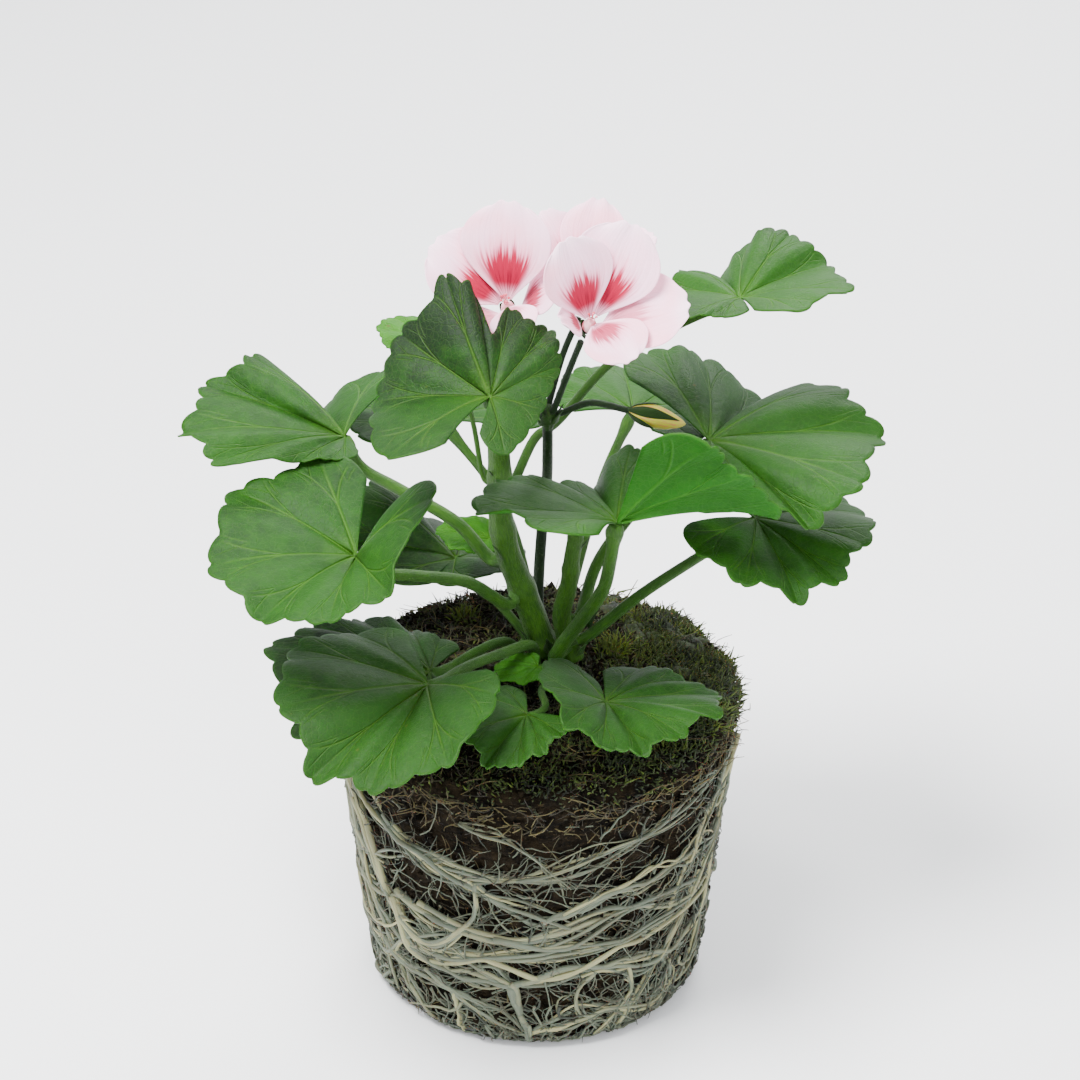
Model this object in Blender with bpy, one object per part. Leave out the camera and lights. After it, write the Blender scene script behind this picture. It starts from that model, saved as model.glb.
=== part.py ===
"""Geranium lifted out of its pot: bare root ball, moss, stems, leaves and one flower head.

The root ball stands on the ground plane with its bottom centre at the origin.
Every growing piece is one closed solid: a blade, a stalk, a stem, a petal.
"""
import math

import bpy
import numpy as np

MM = 0.001
GAP = 0.35  # clearance left between neighbours, mm

# Root ball, mm
PLUG_BOTTOM_RADIUS = 48.5
PLUG_TOP_RADIUS = 60.0
PLUG_HEIGHT = 97.0
PLUG_DOME = 5.0
PLUG_BOTTOM_ROUND = 6.0
PLUG_TOP_ROUND = 5.0
PLUG_SIDES = 40

# Root net over the side of the root ball, mm
NET_COLUMNS = 18
NET_ROWS = 4
NET_LOW = 4.0
NET_HIGH = 86.0
NET_STAND_OFF = 2.0
NET_THICKNESS = 1.8
NET_STRAND = 2.6

# Moss cushion over the right side of the top rim: bearings in degrees, lengths in mm
MOSS_FROM = -66.0
MOSS_TO = 96.0
MOSS_INNER = 30.0
MOSS_DROP = 7.0
MOSS_THICKNESS = 4.6
MOSS_EDGE = 0.8

BLADE_THICKNESS = 0.9
BLADE_RINGS = 3
RAYS_PER_VEIN = 3
LOBE_DIP = 0.07
PLEAT = 0.045
ARCH = 0.05
BASAL_TURN = 24.0
BASAL_REACH = 0.72
PLANT_OFFSET = 2.5  # the stems stand this far to the right of the middle of the root ball
ROOT_BALL = ("soil_plug", "root_mat", "moss_cushion")
STALK_SIDES = 6
PETAL_THICKNESS = 0.5

# Leaves. "veins" run counter-clockwise from the basal gap: bearing deg, slope deg, length mm.
# "stalk" runs from the crown or stem to just under the blade's junction, mm.
LEAVES = {
    "top_front": {
        "junction": (-15, -38, 211),
        "veins": [(-77, -25, 20), (-5, -14, 15), (34, 8, 24), (52, 22, 29), (78, 34, 28), (102, 40, 33),
                  (118, 44, 38), (138, 14, 36), (162, -12, 35), (-141, -10, 36)],
        "stalk": [(-12.5, -5.6, 181), (-13, -13, 192), (-14.4, -26, 202.5), (-15, -36.5, 208.6)],
        "stalk_radius": 1.6,
        "dips": {4: 0.48, 6: 0.16},
    },
    "left_upper": {
        "junction": (-58, 14, 172),
        "veins": [(75, 8, 36), (114, -14, 34), (140, 22, 41), (157, 9, 46), (-168, 8, 48),
                  (-146, 6, 45), (-124, 2, 22), (-88, 0, 14)],
        "stalk": [(-16.5, 8.5, 135), (-26, 10, 146), (-42, 13, 155), (-53, 15, 161), (-57.5, 14.6, 169)],
        "stalk_radius": 1.8,
    },
    "left_middle": {
        "junction": (-53, -30, 157),
        "veins": [(111, 24, 37), (150, 13, 42), (-164, 5, 43), (-127, -1, 43), (-97, 2, 42),
                  (-74, 14, 40), (-33, 46, 38)],
        "stalk": [(-11.5, 0.5, 124), (-22, -8, 136), (-36, -20, 145), (-46, -27, 150), (-51.5, -29, 154.5)],
        "stalk_radius": 1.7,
    },
    "left_low": {
        "junction": (-33, -45, 124),
        "veins": [(128, 2, 36), (159, 2, 43), (-160, 2, 44), (-135, -13, 46), (-112, -17, 43),
                  (-80, -6, 38), (-37, 14, 26)],
        "stalk": [(-3, 1, 105), (-4.5, -3, 112), (-12, -14, 116), (-23, -30, 120.5), (-31, -42, 121.8)],
        "stalk_radius": 1.6,
    },
    "left_under": {
        "junction": (-33, -25, 116),
        "veins": [(84, -5, 22), (104, -6, 32), (125, -1, 38), (148, 3, 42), (170, 4, 48),
                  (-160, -14, 44), (-138, -24, 40), (-110, -24, 34), (-80, -10, 24)],
        "stalk": [(-7.5, 2.5, 106), (-12, -1, 112), (-20, -10, 114), (-30, -22, 114)],
        "stalk_radius": 1.5,
    },
    "front_low": {
        "junction": (-5, -45, 114),
        "veins": [(117, 0, 17), (150, 4, 20), (-146, 2, 22), (-122, -12, 24), (-97, -8, 23),
                  (-76, 0, 21), (-56, 8, 18)],
        "stalk": [(3.6, -3.5, 103.8), (2.5, -9, 105.2), (-1, -22, 108.3), (0, -34, 110), (-4.2, -43, 112)],
        "stalk_radius": 1.1,
    },
    "right_low": {
        "junction": (17, -40, 115),
        "veins": [(124, 4, 26), (-160, 26, 21), (-115, 18, 30), (-93, 9, 34), (-72, 4, 35),
                  (-50, 9, 34), (-24, 6, 35), (14, -6, 34), (41, -8, 32), (67, -8, 28)],
        "stalk": [(8, -4, 104.5), (9.5, -10, 107.5), (13, -22, 109), (16, -34, 110.4), (16.8, -39, 112.1)],
        "stalk_radius": 1.2,
    },
    "front_right": {
        "junction": (20, -25, 165),
        "veins": [(-30, 48, 44), (-21, 30, 44), (-10, 8, 48), (26, -6, 30), (56, -8, 30),
                  (82, 9, 36), (102, -8, 32), (122, -2, 32), (152, 6, 38), (-165, 13, 42), (-129, 20, 34)],
        "stalk": [(3, -2.5, 108), (6, -5, 115), (11, -9, 125), (16.5, -14, 137), (18.5, -20, 150),
                  (19.6, -24, 162)],
        "stalk_radius": 2.0,
    },
    "right_upper": {
        "junction": (47, 6, 175),
        "veins": [(-92, 2, 22), (-70, -8, 32), (-50, -13, 46), (-30, -2, 50), (8, -2, 51),
                  (34, 6, 48), (64, -9, 43), (90, 6, 46), (116, 14, 44)],
        "stalk": [(10.5, 8, 116), (16, 11, 133), (30, 10, 155), (45.5, 6.5, 172)],
        "stalk_radius": 1.7,
    },
    "right_lower": {
        "junction": (61, 5, 150),
        "veins": [(-130, 4, 30), (-98, -6, 34), (-72, -15, 36), (-49, -10, 36), (-28, 0, 36),
                  (18, -7, 36), (62, -12, 36), (98, -10, 32)],
        "stalk": [(12.5, 4, 111), (28, 2.5, 126), (45, 4, 138), (59, 5, 147.3)],
        "stalk_radius": 1.6,
    },
    "right_top": {
        "junction": (56, 25, 211),
        "veins": [(-57, 15, 28), (-8, 8, 32), (38, 2, 34), (62, 12, 36), (82, 6, 34),
                  (102, -14, 26), (120, -5, 30), (146, -10, 28), (-130, 6, 26), (-107, 9, 20)],
        "stalk": [(-9, 5.5, 162), (-3, 13, 172), (4, 17, 176), (20, 20, 194), (42, 24, 205), (54, 25, 209)],
        "stalk_radius": 1.3,
    },
    "back_left_low": {
        "junction": (-27, 40, 117),
        "veins": [(-93, 5, 20), (-27, 8, 22), (40, -10, 24), (84, -12, 28), (122, 2, 34),
                  (148, 26, 38), (174, 8, 34), (-136, 6, 27)],
        "stalk": [(-6, 15, 105), (-14, 20, 113), (-21, 29, 114), (-26.5, 38.5, 115)],
        "stalk_radius": 1.3,
    },
    "back_right": {
        "junction": (26, 48, 163),
        "veins": [(-50, 4, 28), (-14, -4, 32), (22, -8, 36), (58, -10, 38), (94, -4, 36),
                  (130, 2, 30), (166, 4, 24)],
        "stalk": [(4.5, 14.5, 104), (9, 21, 122), (17, 35, 146), (25, 46.7, 160.5)],
        "stalk_radius": 1.5,
    },
    "back_left": {
        "junction": (-30, 52, 158),
        "veins": [(-8, 2, 30), (28, -6, 35), (64, -10, 38), (100, -10, 39), (136, -4, 38),
                  (172, 2, 35), (-152, 4, 30)],
        "stalk": [(-4.5, 19, 103.5), (-6, 26, 120), (-14, 38, 140), (-28.8, 50.5, 155.5)],
        "stalk_radius": 1.5,
    },
}

# Young leaves: blade and stalk are one solid, because the stalk is a few millimetres long.
YOUNG_LEAVES = {
    "crown_front": {
        "junction": (-2, -13, 110.6),
        "veins": [(110, 0, 8), (150, -2, 11), (180, -5, 13), (-150, -4, 13), (-115, 0, 11), (-75, 2, 8),
                  (-35, 0, 6)],
        "stalk": [(3.6, -7.6, 107.5), (1, -10, 109.4), (-2, -13, 110.4)],
        "stalk_radius": 0.9,
    },
    "stem_left": {
        "junction": (-16.5, 20, 135),
        "veins": [(50, 0, 8), (95, 2, 12), (140, 6, 15), (178, 8, 16), (-145, 6, 15), (-115, 3, 11),
                  (-80, 0, 8)],
        "stalk": [(-9.5, 11.5, 128), (-13, 16, 132), (-16.5, 20, 134.8)],
        "stalk_radius": 0.9,
    },
    "stem_top": {
        "junction": (-33, 14, 203),
        "veins": [(45, 2, 9), (95, 6, 12), (140, 10, 15), (178, 12, 16), (-145, 10, 15), (-105, 8, 13),
                  (-60, 2, 10)],
        "stalk": [(-18, 3.5, 165), (-22, 9, 184), (-33, 14, 202.7)],
        "stalk_radius": 0.9,
    },
}

# Stems: path in mm, radius at each end in mm
STEMS = {
    "main_stem": ([(0, 8, 103.3), (-3, 8, 114), (-7, 6, 127), (-11, 4, 140), (-13, 2, 155),
                   (-13, 0, 169), (-13.5, 0, 182)], 4.2, 3.1),
    "side_shoot": ([(8.5, 5, 103.1), (5, 4.5, 117), (7, 2, 130), (8, 0, 141), (9, 0, 148)], 3.0, 2.1),
    "flower_stalk": ([(-1.5, 15.5, 102.6), (-2, 15.5, 119), (-1, 14, 140), (0.5, 9.5, 160), (0.7, 4, 173), (0.7, 0.6, 183.5)],
                     1.7, 1.5),
    "pedicel_left": ([(-1, -2.2, 189.2), (-4, -4, 202), (-9, -1, 213.5)], 0.75, 0.75),
    "pedicel_right": ([(2.6, -1.6, 189.4), (6, -3, 200), (9.5, -7.5, 212)], 0.75, 0.75),
    "pedicel_back": ([(1.2, 3.2, 189), (5, 7, 202), (9, 9, 211.5)], 0.75, 0.75),
    "pedicel_bud": ([(5.4, -0.6, 187.6), (13, -2.5, 191.5), (22.6, -4.7, 190.4)], 0.7, 0.8),
}

# Flowers: throat in mm, the way the face looks, and each petal as
# bearing round the face deg, length mm, width mm, first and last opening deg, lift mm.
FLOWERS = {
    "left": {
        "throat": (-10.8, -5, 223.5),
        "facing": (-0.15, -0.58, 0.80),
        "petals": [(80, 29, 26, 30, 58, 0.0), (143, 26, 24, 36, 76, 2.0), (4, 18, 15, 38, 58, 4.0),
                   (-70, 15, 14, 42, 84, 0.0), (-142, 19, 17, 44, 88, 3.6)],
    },
    "right": {
        "throat": (12.5, -14.5, 222.5),
        "facing": (0.12, -0.62, 0.775),
        "petals": [(122, 26, 22, 28, 50, 0.0), (66, 29, 25, 30, 58, 3.2), (4, 27, 23, 38, 78, 4.4),
                   (-56, 20, 19, 40, 84, 0.0), (-160, 12, 11, 26, 50, 2.0)],
    },
    "back": {
        "throat": (11, 7, 223),
        "facing": (0.05, -0.25, 0.97),
        "petals": [(132, 24, 18, 20, 62, 2.8), (78, 25, 19, 20, 55, 0.0), (22, 24, 19, 26, 68, 2.8),
                   (-52, 12, 9, 46, 86, 0.0), (-148, 11, 9, 48, 86, 0.0)],
    },
}

COLOURS = {
    "peat": ((0.020, 0.014, 0.009), 0.95),
    "root": ((0.42, 0.40, 0.30), 0.80),
    "moss": ((0.075, 0.085, 0.018), 0.95),
    "leaf": ((0.075, 0.190, 0.040), 0.55),
    "young_leaf": ((0.150, 0.300, 0.050), 0.55),
    "stalk": ((0.130, 0.230, 0.045), 0.50),
    "flower_stalk": ((0.040, 0.110, 0.035), 0.50),
    "petal": ((0.900, 0.640, 0.660), 0.50),
    "calyx": ((0.090, 0.170, 0.045), 0.60),
}


def clear_scene():
    for old in list(bpy.data.objects):
        bpy.data.objects.remove(old, do_unlink=True)


def material(name):
    found = bpy.data.materials.get(name)
    if found:
        return found
    made = bpy.data.materials.new(name)
    made.use_nodes = True
    colour, roughness = COLOURS[name]
    shader = made.node_tree.nodes["Principled BSDF"]
    shader.inputs["Base Color"].default_value = (*colour, 1.0)
    shader.inputs["Roughness"].default_value = roughness
    shader.inputs["Metallic"].default_value = 0.0
    return made


def add_piece(name, points, faces, finish):
    """Make one named object from points in millimetres."""
    shift = np.array([0.0 if name in ROOT_BALL else PLANT_OFFSET, 0.0, 0.0])
    mesh = bpy.data.meshes.new(name)
    mesh.from_pydata([tuple((np.array(p, float) + shift) * MM) for p in points], [], faces)
    mesh.update()
    mesh.shade_smooth()
    mesh.set_sharp_from_angle(angle=math.radians(50))
    piece = bpy.data.objects.new(name, mesh)
    piece.data.materials.append(material(finish))
    bpy.context.scene.collection.objects.link(piece)
    return piece


def unit(v):
    length = np.linalg.norm(v, axis=-1, keepdims=True)
    return v / np.maximum(length, 1e-9)


def direction(bearing, slope):
    b, s = math.radians(bearing), math.radians(slope)
    return np.array([math.cos(s) * math.cos(b), math.cos(s) * math.sin(b), math.sin(s)])


def smooth_path(points, steps):
    """Catmull-Rom curve through the points, with its own ends repeated."""
    p = np.array(points, float)
    p = np.vstack([2 * p[0] - p[1], p, 2 * p[-1] - p[-2]])
    out = []
    for i in range(1, len(p) - 2):
        a, b, c, d = p[i - 1], p[i], p[i + 1], p[i + 2]
        for t in np.arange(steps) / steps:
            out.append(0.5 * (2 * b + (c - a) * t + (2 * a - 5 * b + 4 * c - d) * t * t
                              + (3 * b - a - 3 * c + d) * t ** 3))
    out.append(p[-2])
    return np.array(out)


def turned(profile, sides, shape=None):
    """Solid of revolution about +Z from (radius, height) points, closed by a pole at each end."""
    points = [(0.0, 0.0, profile[0][1])]
    for radius, height in profile:
        for k in range(sides):
            a = math.tau * k / sides
            r = radius * (shape(a, height) if shape else 1.0)
            points.append((r * math.cos(a), r * math.sin(a), height))
    points.append((0.0, 0.0, profile[-1][1]))
    last = len(points) - 1
    faces = []
    for k in range(sides):
        n = (k + 1) % sides
        faces.append((0, 1 + n, 1 + k))
        for ring in range(len(profile) - 1):
            a = 1 + ring * sides
            b = a + sides
            faces.append((a + k, a + n, b + n, b + k))
        top = 1 + (len(profile) - 1) * sides
        faces.append((last, top + k, top + n))
    return np.array(points), faces


def plug_outline():
    """Outer profile of the root ball, from the bottom centre round to the top centre."""
    lean = (PLUG_TOP_RADIUS - PLUG_BOTTOM_RADIUS) / PLUG_HEIGHT
    profile = [(PLUG_BOTTOM_RADIUS * 0.5, 0.0), (PLUG_BOTTOM_RADIUS - PLUG_BOTTOM_ROUND, 0.0)]
    for k in range(1, 4):
        a = math.radians(30 * k)
        profile.append((PLUG_BOTTOM_RADIUS - PLUG_BOTTOM_ROUND * (1 - math.sin(a)),
                        PLUG_BOTTOM_ROUND * (1 - math.cos(a))))
    for z in np.linspace(20.0, PLUG_HEIGHT - PLUG_TOP_ROUND, 6):
        profile.append((PLUG_BOTTOM_RADIUS + lean * z, float(z)))
    corner = PLUG_TOP_RADIUS - PLUG_TOP_ROUND
    for k in (1, 2, 3):
        a = math.radians(30 * k)
        profile.append((corner + PLUG_TOP_ROUND * math.cos(a),
                        PLUG_HEIGHT - PLUG_TOP_ROUND * (1 - math.sin(a))))
    for share in (0.75, 0.5, 0.25):
        profile.append((corner * share, PLUG_HEIGHT + PLUG_DOME * (1 - share ** 2)))
    return profile


def make_plug():
    points, faces = turned(plug_outline(), PLUG_SIDES)
    add_piece("soil_plug", points, faces, "peat")


def plug_radius(z):
    lean = (PLUG_TOP_RADIUS - PLUG_BOTTOM_RADIUS) / PLUG_HEIGHT
    radius = PLUG_BOTTOM_RADIUS + lean * z
    if z < PLUG_BOTTOM_ROUND:
        drop = PLUG_BOTTOM_ROUND - z
        radius -= PLUG_BOTTOM_ROUND - math.sqrt(PLUG_BOTTOM_ROUND ** 2 - drop ** 2)
    return radius


def make_root_net():
    """One netted skin of roots: slanting cells with a hole in each, wrapped round the root ball."""
    def net_point(u, v, depth):
        z = NET_LOW + (NET_HIGH - NET_LOW) * v / NET_ROWS
        turn = u + 0.45 * v + 0.22 * math.sin(1.9 * v + 1.3 * u)
        a = math.tau * turn / NET_COLUMNS
        radius = plug_radius(z) + NET_STAND_OFF + depth
        return (radius * math.cos(a), radius * math.sin(a), z)

    half_u = 0.5 * NET_STRAND / (math.tau * 0.5 * (PLUG_TOP_RADIUS + PLUG_BOTTOM_RADIUS) / NET_COLUMNS)
    half_v = 0.5 * NET_STRAND / ((NET_HIGH - NET_LOW) / NET_ROWS)
    points, faces, index = [], [], {}

    def at(key, u, v, depth):
        key = (*key, depth)
        if key not in index:
            index[key] = len(points)
            points.append(net_point(u, v, depth))
        return index[key]

    for row in range(NET_ROWS):
        for col in range(NET_COLUMNS):
            corners = [(col, row), (col + 1, row), (col + 1, row + 1), (col, row + 1)]
            nudge = [(1, 1), (-1, 1), (-1, -1), (1, -1)]
            outer, inner = {}, {}
            for depth in (0.0, NET_THICKNESS):
                outer[depth] = [at(("grid", c % NET_COLUMNS, r), c, r, depth) for c, r in corners]
                inner[depth] = [at(("hole", col, row, k), c + nudge[k][0] * half_u, r + nudge[k][1] * half_v,
                                   depth) for k, (c, r) in enumerate(corners)]
            for k in range(4):
                n = (k + 1) % 4
                top, low = NET_THICKNESS, 0.0
                faces.append((outer[top][k], outer[top][n], inner[top][n], inner[top][k]))
                faces.append((outer[low][n], outer[low][k], inner[low][k], inner[low][n]))
                faces.append((inner[top][k], inner[top][n], inner[low][n], inner[low][k]))
            if row == 0:
                faces.append((outer[0.0][0], outer[0.0][1], outer[NET_THICKNESS][1], outer[NET_THICKNESS][0]))
            if row == NET_ROWS - 1:
                faces.append((outer[0.0][2], outer[0.0][3], outer[NET_THICKNESS][3], outer[NET_THICKNESS][2]))
    add_piece("root_mat", points, faces, "root")


def make_moss():
    """Cushion that lies on the soil and folds down over the rim, thickest along the rim."""
    corner = PLUG_TOP_RADIUS - PLUG_TOP_ROUND
    path, normals = [], []
    for r in np.linspace(MOSS_INNER, corner, 5):
        slope = 2 * PLUG_DOME * r / corner ** 2
        path.append((r, PLUG_HEIGHT + PLUG_DOME * (1 - (r / corner) ** 2)))
        normals.append((slope, 1.0))
    for k in (2, 1, 0):
        a = math.radians(30 * k)
        path.append((corner + PLUG_TOP_ROUND * math.cos(a),
                     PLUG_HEIGHT - PLUG_TOP_ROUND * (1 - math.sin(a))))
        normals.append((math.cos(a), math.sin(a)))
    path.append((path[-1][0], PLUG_HEIGHT - PLUG_TOP_ROUND - MOSS_DROP + 3.0))
    normals.append((1.0, 0.0))
    columns, rows = 30, len(path)
    points, faces = [], []
    for layer in (0, 1):
        for i in range(columns):
            share = i / (columns - 1)
            a = math.radians(MOSS_FROM + (MOSS_TO - MOSS_FROM) * share)
            for j in range(rows):
                across = j / (rows - 1)
                swell = math.sin(math.pi * share) ** 0.5 * math.sin(math.pi * across) ** 0.6
                swell *= 0.75 + 0.25 * math.sin(7.0 * a + 1.7 * j) * math.cos(3.1 * a - j)
                lift = 2.0 * GAP + layer * (MOSS_EDGE + MOSS_THICKNESS * swell)
                nr, nz = np.array(normals[j]) / math.hypot(*normals[j])
                r, z = path[j][0] + lift * nr, path[j][1] + lift * nz
                points.append((r * math.cos(a), r * math.sin(a), z))
    size = columns * rows

    def at(i, j, layer):
        return layer * size + i * rows + j

    for i in range(columns - 1):
        for j in range(rows - 1):
            faces.append((at(i, j, 1), at(i, j + 1, 1), at(i + 1, j + 1, 1), at(i + 1, j, 1)))
            faces.append((at(i, j, 0), at(i + 1, j, 0), at(i + 1, j + 1, 0), at(i, j + 1, 0)))
    for i in range(columns - 1):
        faces.append((at(i, 0, 0), at(i, 0, 1), at(i + 1, 0, 1), at(i + 1, 0, 0)))
        faces.append((at(i + 1, rows - 1, 0), at(i + 1, rows - 1, 1), at(i, rows - 1, 1), at(i, rows - 1, 0)))
    for j in range(rows - 1):
        faces.append((at(0, j + 1, 0), at(0, j + 1, 1), at(0, j, 1), at(0, j, 0)))
        last = columns - 1
        faces.append((at(last, j, 0), at(last, j, 1), at(last, j + 1, 1), at(last, j + 1, 0)))
    add_piece("moss_cushion", points, faces, "moss")


def tube(path, start_radius, end_radius, sides):
    """Round tapering solid along a path, carried without twist."""
    p = np.array(path)
    along = unit(np.gradient(p, axis=0))
    side = unit(np.cross(along[0], (0.31, 0.95, 0.05)))
    points, faces = [p[0]], []
    for k, centre in enumerate(p):
        side = unit(side - along[k] * np.dot(side, along[k]))
        other = np.cross(along[k], side)
        radius = start_radius + (end_radius - start_radius) * k / (len(p) - 1)
        for n in range(sides):
            a = math.tau * n / sides
            points.append(centre + radius * (math.cos(a) * side + math.sin(a) * other))
    points.append(p[-1])
    last = len(points) - 1
    for n in range(sides):
        m = (n + 1) % sides
        faces.append((0, 1 + m, 1 + n))
        for ring in range(len(p) - 1):
            a, b = 1 + ring * sides, 1 + (ring + 1) * sides
            faces.append((a + n, a + m, b + m, b + n))
        top = 1 + (len(p) - 1) * sides
        faces.append((last, top + n, top + m))
    return points, faces


def blade_rays(leaf):
    """Margin vectors round a blade: a smooth curve through the vein tips, dipped between lobes."""
    veins = leaf["veins"]
    tips = np.array([length * direction(bearing, slope) for bearing, slope, length in veins])
    rays = smooth_path(tips, RAYS_PER_VEIN)
    lengths = smooth_path([[length] for _, _, length in veins], RAYS_PER_VEIN)
    share = np.arange(len(rays)) % RAYS_PER_VEIN / RAYS_PER_VEIN
    between = np.sin(math.pi * share)[:, None] ** 2
    gaps = np.arange(len(rays)) // RAYS_PER_VEIN
    dips = np.array([[leaf.get("dips", {}).get(int(gap), LOBE_DIP)] for gap in gaps])
    rays = unit(rays) * lengths * (1 - dips * between)
    axis = unit(np.cross(rays[0], rays[1]))
    first = turn_about(rays[0], axis, -BASAL_TURN) * BASAL_REACH
    axis = unit(np.cross(rays[-2], rays[-1]))
    last = turn_about(rays[-1], axis, BASAL_TURN) * BASAL_REACH
    between = np.concatenate([[0.0], between[:, 0], [0.0]])
    return np.vstack([first, rays, last]), between


def turn_about(v, axis, degrees):
    a = math.radians(degrees)
    return v * math.cos(a) + np.cross(axis, v) * math.sin(a) + axis * np.dot(axis, v) * (1 - math.cos(a))


def blade(leaf):
    """Closed thin solid of a pleated, lobed blade that fans out from its junction."""
    centre = np.array(leaf["junction"], float)
    rays, between = blade_rays(leaf)
    count = len(rays)
    facing = unit(np.cross(rays, np.gradient(rays, axis=0)))
    for _ in range(3):
        facing = unit(facing + np.roll(facing, 1, 0) * (np.arange(count) > 0)[:, None]
                      + np.roll(facing, -1, 0) * (np.arange(count) < count - 1)[:, None])
    reach = np.linalg.norm(rays, axis=1)[:, None]
    middle = unit(facing.sum(axis=0))
    rings = [centre[None, :].repeat(count, 0)]
    for k in range(1, BLADE_RINGS + 1):
        s = k / BLADE_RINGS
        rise = reach * (4 * ARCH * s * (1 - s) + PLEAT * s * between[:, None])
        rings.append(centre + s * rays + rise * facing)
    grid = np.array(rings)
    half = 0.5 * BLADE_THICKNESS
    points = [centre + half * middle, centre - half * middle]
    for side in (1, -1):
        for k in range(1, BLADE_RINGS + 1):
            lean = unit(middle * (1 - k / BLADE_RINGS) + facing * (k / BLADE_RINGS))
            points.extend(grid[k] + side * half * lean)

    def at(side, ring, ray):
        if ring == 0:
            return side
        return 2 + side * count * BLADE_RINGS + (ring - 1) * count + ray

    faces = []
    for ray in range(count - 1):
        faces.append((at(0, 0, 0), at(0, 1, ray), at(0, 1, ray + 1)))
        faces.append((at(1, 0, 0), at(1, 1, ray + 1), at(1, 1, ray)))
        for ring in range(1, BLADE_RINGS):
            faces.append((at(0, ring, ray), at(0, ring + 1, ray), at(0, ring + 1, ray + 1), at(0, ring, ray + 1)))
            faces.append((at(1, ring, ray), at(1, ring, ray + 1), at(1, ring + 1, ray + 1), at(1, ring + 1, ray)))
        last = BLADE_RINGS
        faces.append((at(0, last, ray), at(1, last, ray), at(1, last, ray + 1), at(0, last, ray + 1)))
    for ring in range(BLADE_RINGS):
        end = count - 1
        faces.append((at(0, ring, 0), at(1, ring, 0), at(1, ring + 1, 0), at(0, ring + 1, 0)))
        faces.append((at(0, ring + 1, end), at(1, ring + 1, end), at(1, ring, end), at(0, ring, end)))
    return points, faces


def grow_on(whole, helper):
    """Join a helper shape to a piece that grew as one with it."""
    helper.hide_render = True
    helper.display_type = "WIRE"
    join = whole.modifiers.new("grown_as_one", "BOOLEAN")
    join.operation = "UNION"
    join.solver = "EXACT"
    join.object = helper


def make_leaves():
    for name, leaf in LEAVES.items():
        points, faces = blade(leaf)
        add_piece(f"leaf_{name}", points, faces, "leaf")
        radius = leaf["stalk_radius"]
        points, faces = tube(smooth_path(leaf["stalk"], 3), radius * 1.15, radius * 0.9, STALK_SIDES)
        add_piece(f"stalk_{name}", points, faces, "stalk")


def make_young_leaves():
    for name, leaf in YOUNG_LEAVES.items():
        points, faces = blade(leaf)
        whole = add_piece(f"young_leaf_{name}", points, faces, "young_leaf")
        radius = leaf["stalk_radius"]
        points, faces = tube(smooth_path(leaf["stalk"], 4), radius, radius * 0.8, 6)
        grow_on(whole, add_piece(f"join_{name}", points, faces, "young_leaf"))


def make_stems():
    for name, (path, start, end) in STEMS.items():
        sides = 10 if start > 2.5 else 6
        points, faces = tube(smooth_path(path, 3), start, end, sides)
        add_piece(name, points, faces, "flower_stalk" if "stalk" in name or "pedicel" in name else "stalk")


def frame_of(facing):
    """Axis of a flower, and two directions across its face: to the right and upward."""
    axis = unit(np.array(facing, float))
    right = unit(np.array([1.0, 0.0, 0.0]) - axis * axis[0])
    return axis, right, np.cross(axis, right)


def petal(throat, facing, bearing, length, width, first_open, last_open, lift):
    """Closed thin petal: narrow claw, broad round tip, hollow along its middle."""
    axis, right, up = frame_of(facing)
    b = math.radians(bearing)
    outward = math.cos(b) * right + math.sin(b) * up
    across = np.cross(axis, outward)
    rows, columns = 6, 5
    middle_open = math.radians(0.5 * (first_open + last_open))
    behind = math.cos(middle_open) * outward - math.sin(middle_open) * axis
    spot = np.array(throat, float) + 1.4 * outward + lift * behind
    middle, normal = [], []
    for k in range(rows):
        u = k / (rows - 1)
        opening = math.radians(first_open + (last_open - first_open) * u)
        heading = math.cos(opening) * axis + math.sin(opening) * outward
        if k:
            spot = spot + heading * length / (rows - 1)
        middle.append(spot)
        normal.append(math.sin(opening) * axis - math.cos(opening) * outward)
    points, faces = [], []
    for side in (1, -1):
        for k in range(rows):
            u = k / (rows - 1)
            half = 0.5 * width * (0.10 + 0.90 * math.sin(0.5 * math.pi * min(1.0, u / 0.62)) ** 1.2)
            if u > 0.62:
                half = 0.5 * width * math.sqrt(max(0.0, 1 - ((u - 0.62) / 0.44) ** 2))
            for c in range(columns):
                v = 2 * c / (columns - 1) - 1
                trim = 1 - 0.10 * abs(v) ** 2.5 * u
                hollow = 0.10 * half * v * v
                place = middle[k] * trim + middle[0] * (1 - trim)
                points.append(place + half * v * across + (hollow + side * 0.5 * PETAL_THICKNESS) * normal[k])
    size = rows * columns

    def at(side, k, c):
        return side * size + k * columns + c

    for k in range(rows - 1):
        for c in range(columns - 1):
            faces.append((at(0, k, c), at(0, k + 1, c), at(0, k + 1, c + 1), at(0, k, c + 1)))
            faces.append((at(1, k, c), at(1, k, c + 1), at(1, k + 1, c + 1), at(1, k + 1, c)))
        end = columns - 1
        faces.append((at(0, k, 0), at(1, k, 0), at(1, k + 1, 0), at(0, k + 1, 0)))
        faces.append((at(0, k + 1, end), at(1, k + 1, end), at(1, k, end), at(0, k, end)))
    for c in range(columns - 1):
        end = rows - 1
        faces.append((at(0, 0, c + 1), at(1, 0, c + 1), at(1, 0, c), at(0, 0, c)))
        faces.append((at(0, end, c), at(1, end, c), at(1, end, c + 1), at(0, end, c + 1)))
    return points, faces


def placed(points, spot, axis):
    """Turn a solid made about +Z so that it stands on spot and points along axis."""
    axis, right, up = frame_of(axis)
    p = np.array(points)
    return np.array(spot) + p[:, :1] * right + p[:, 1:2] * up + p[:, 2:] * axis


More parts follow.
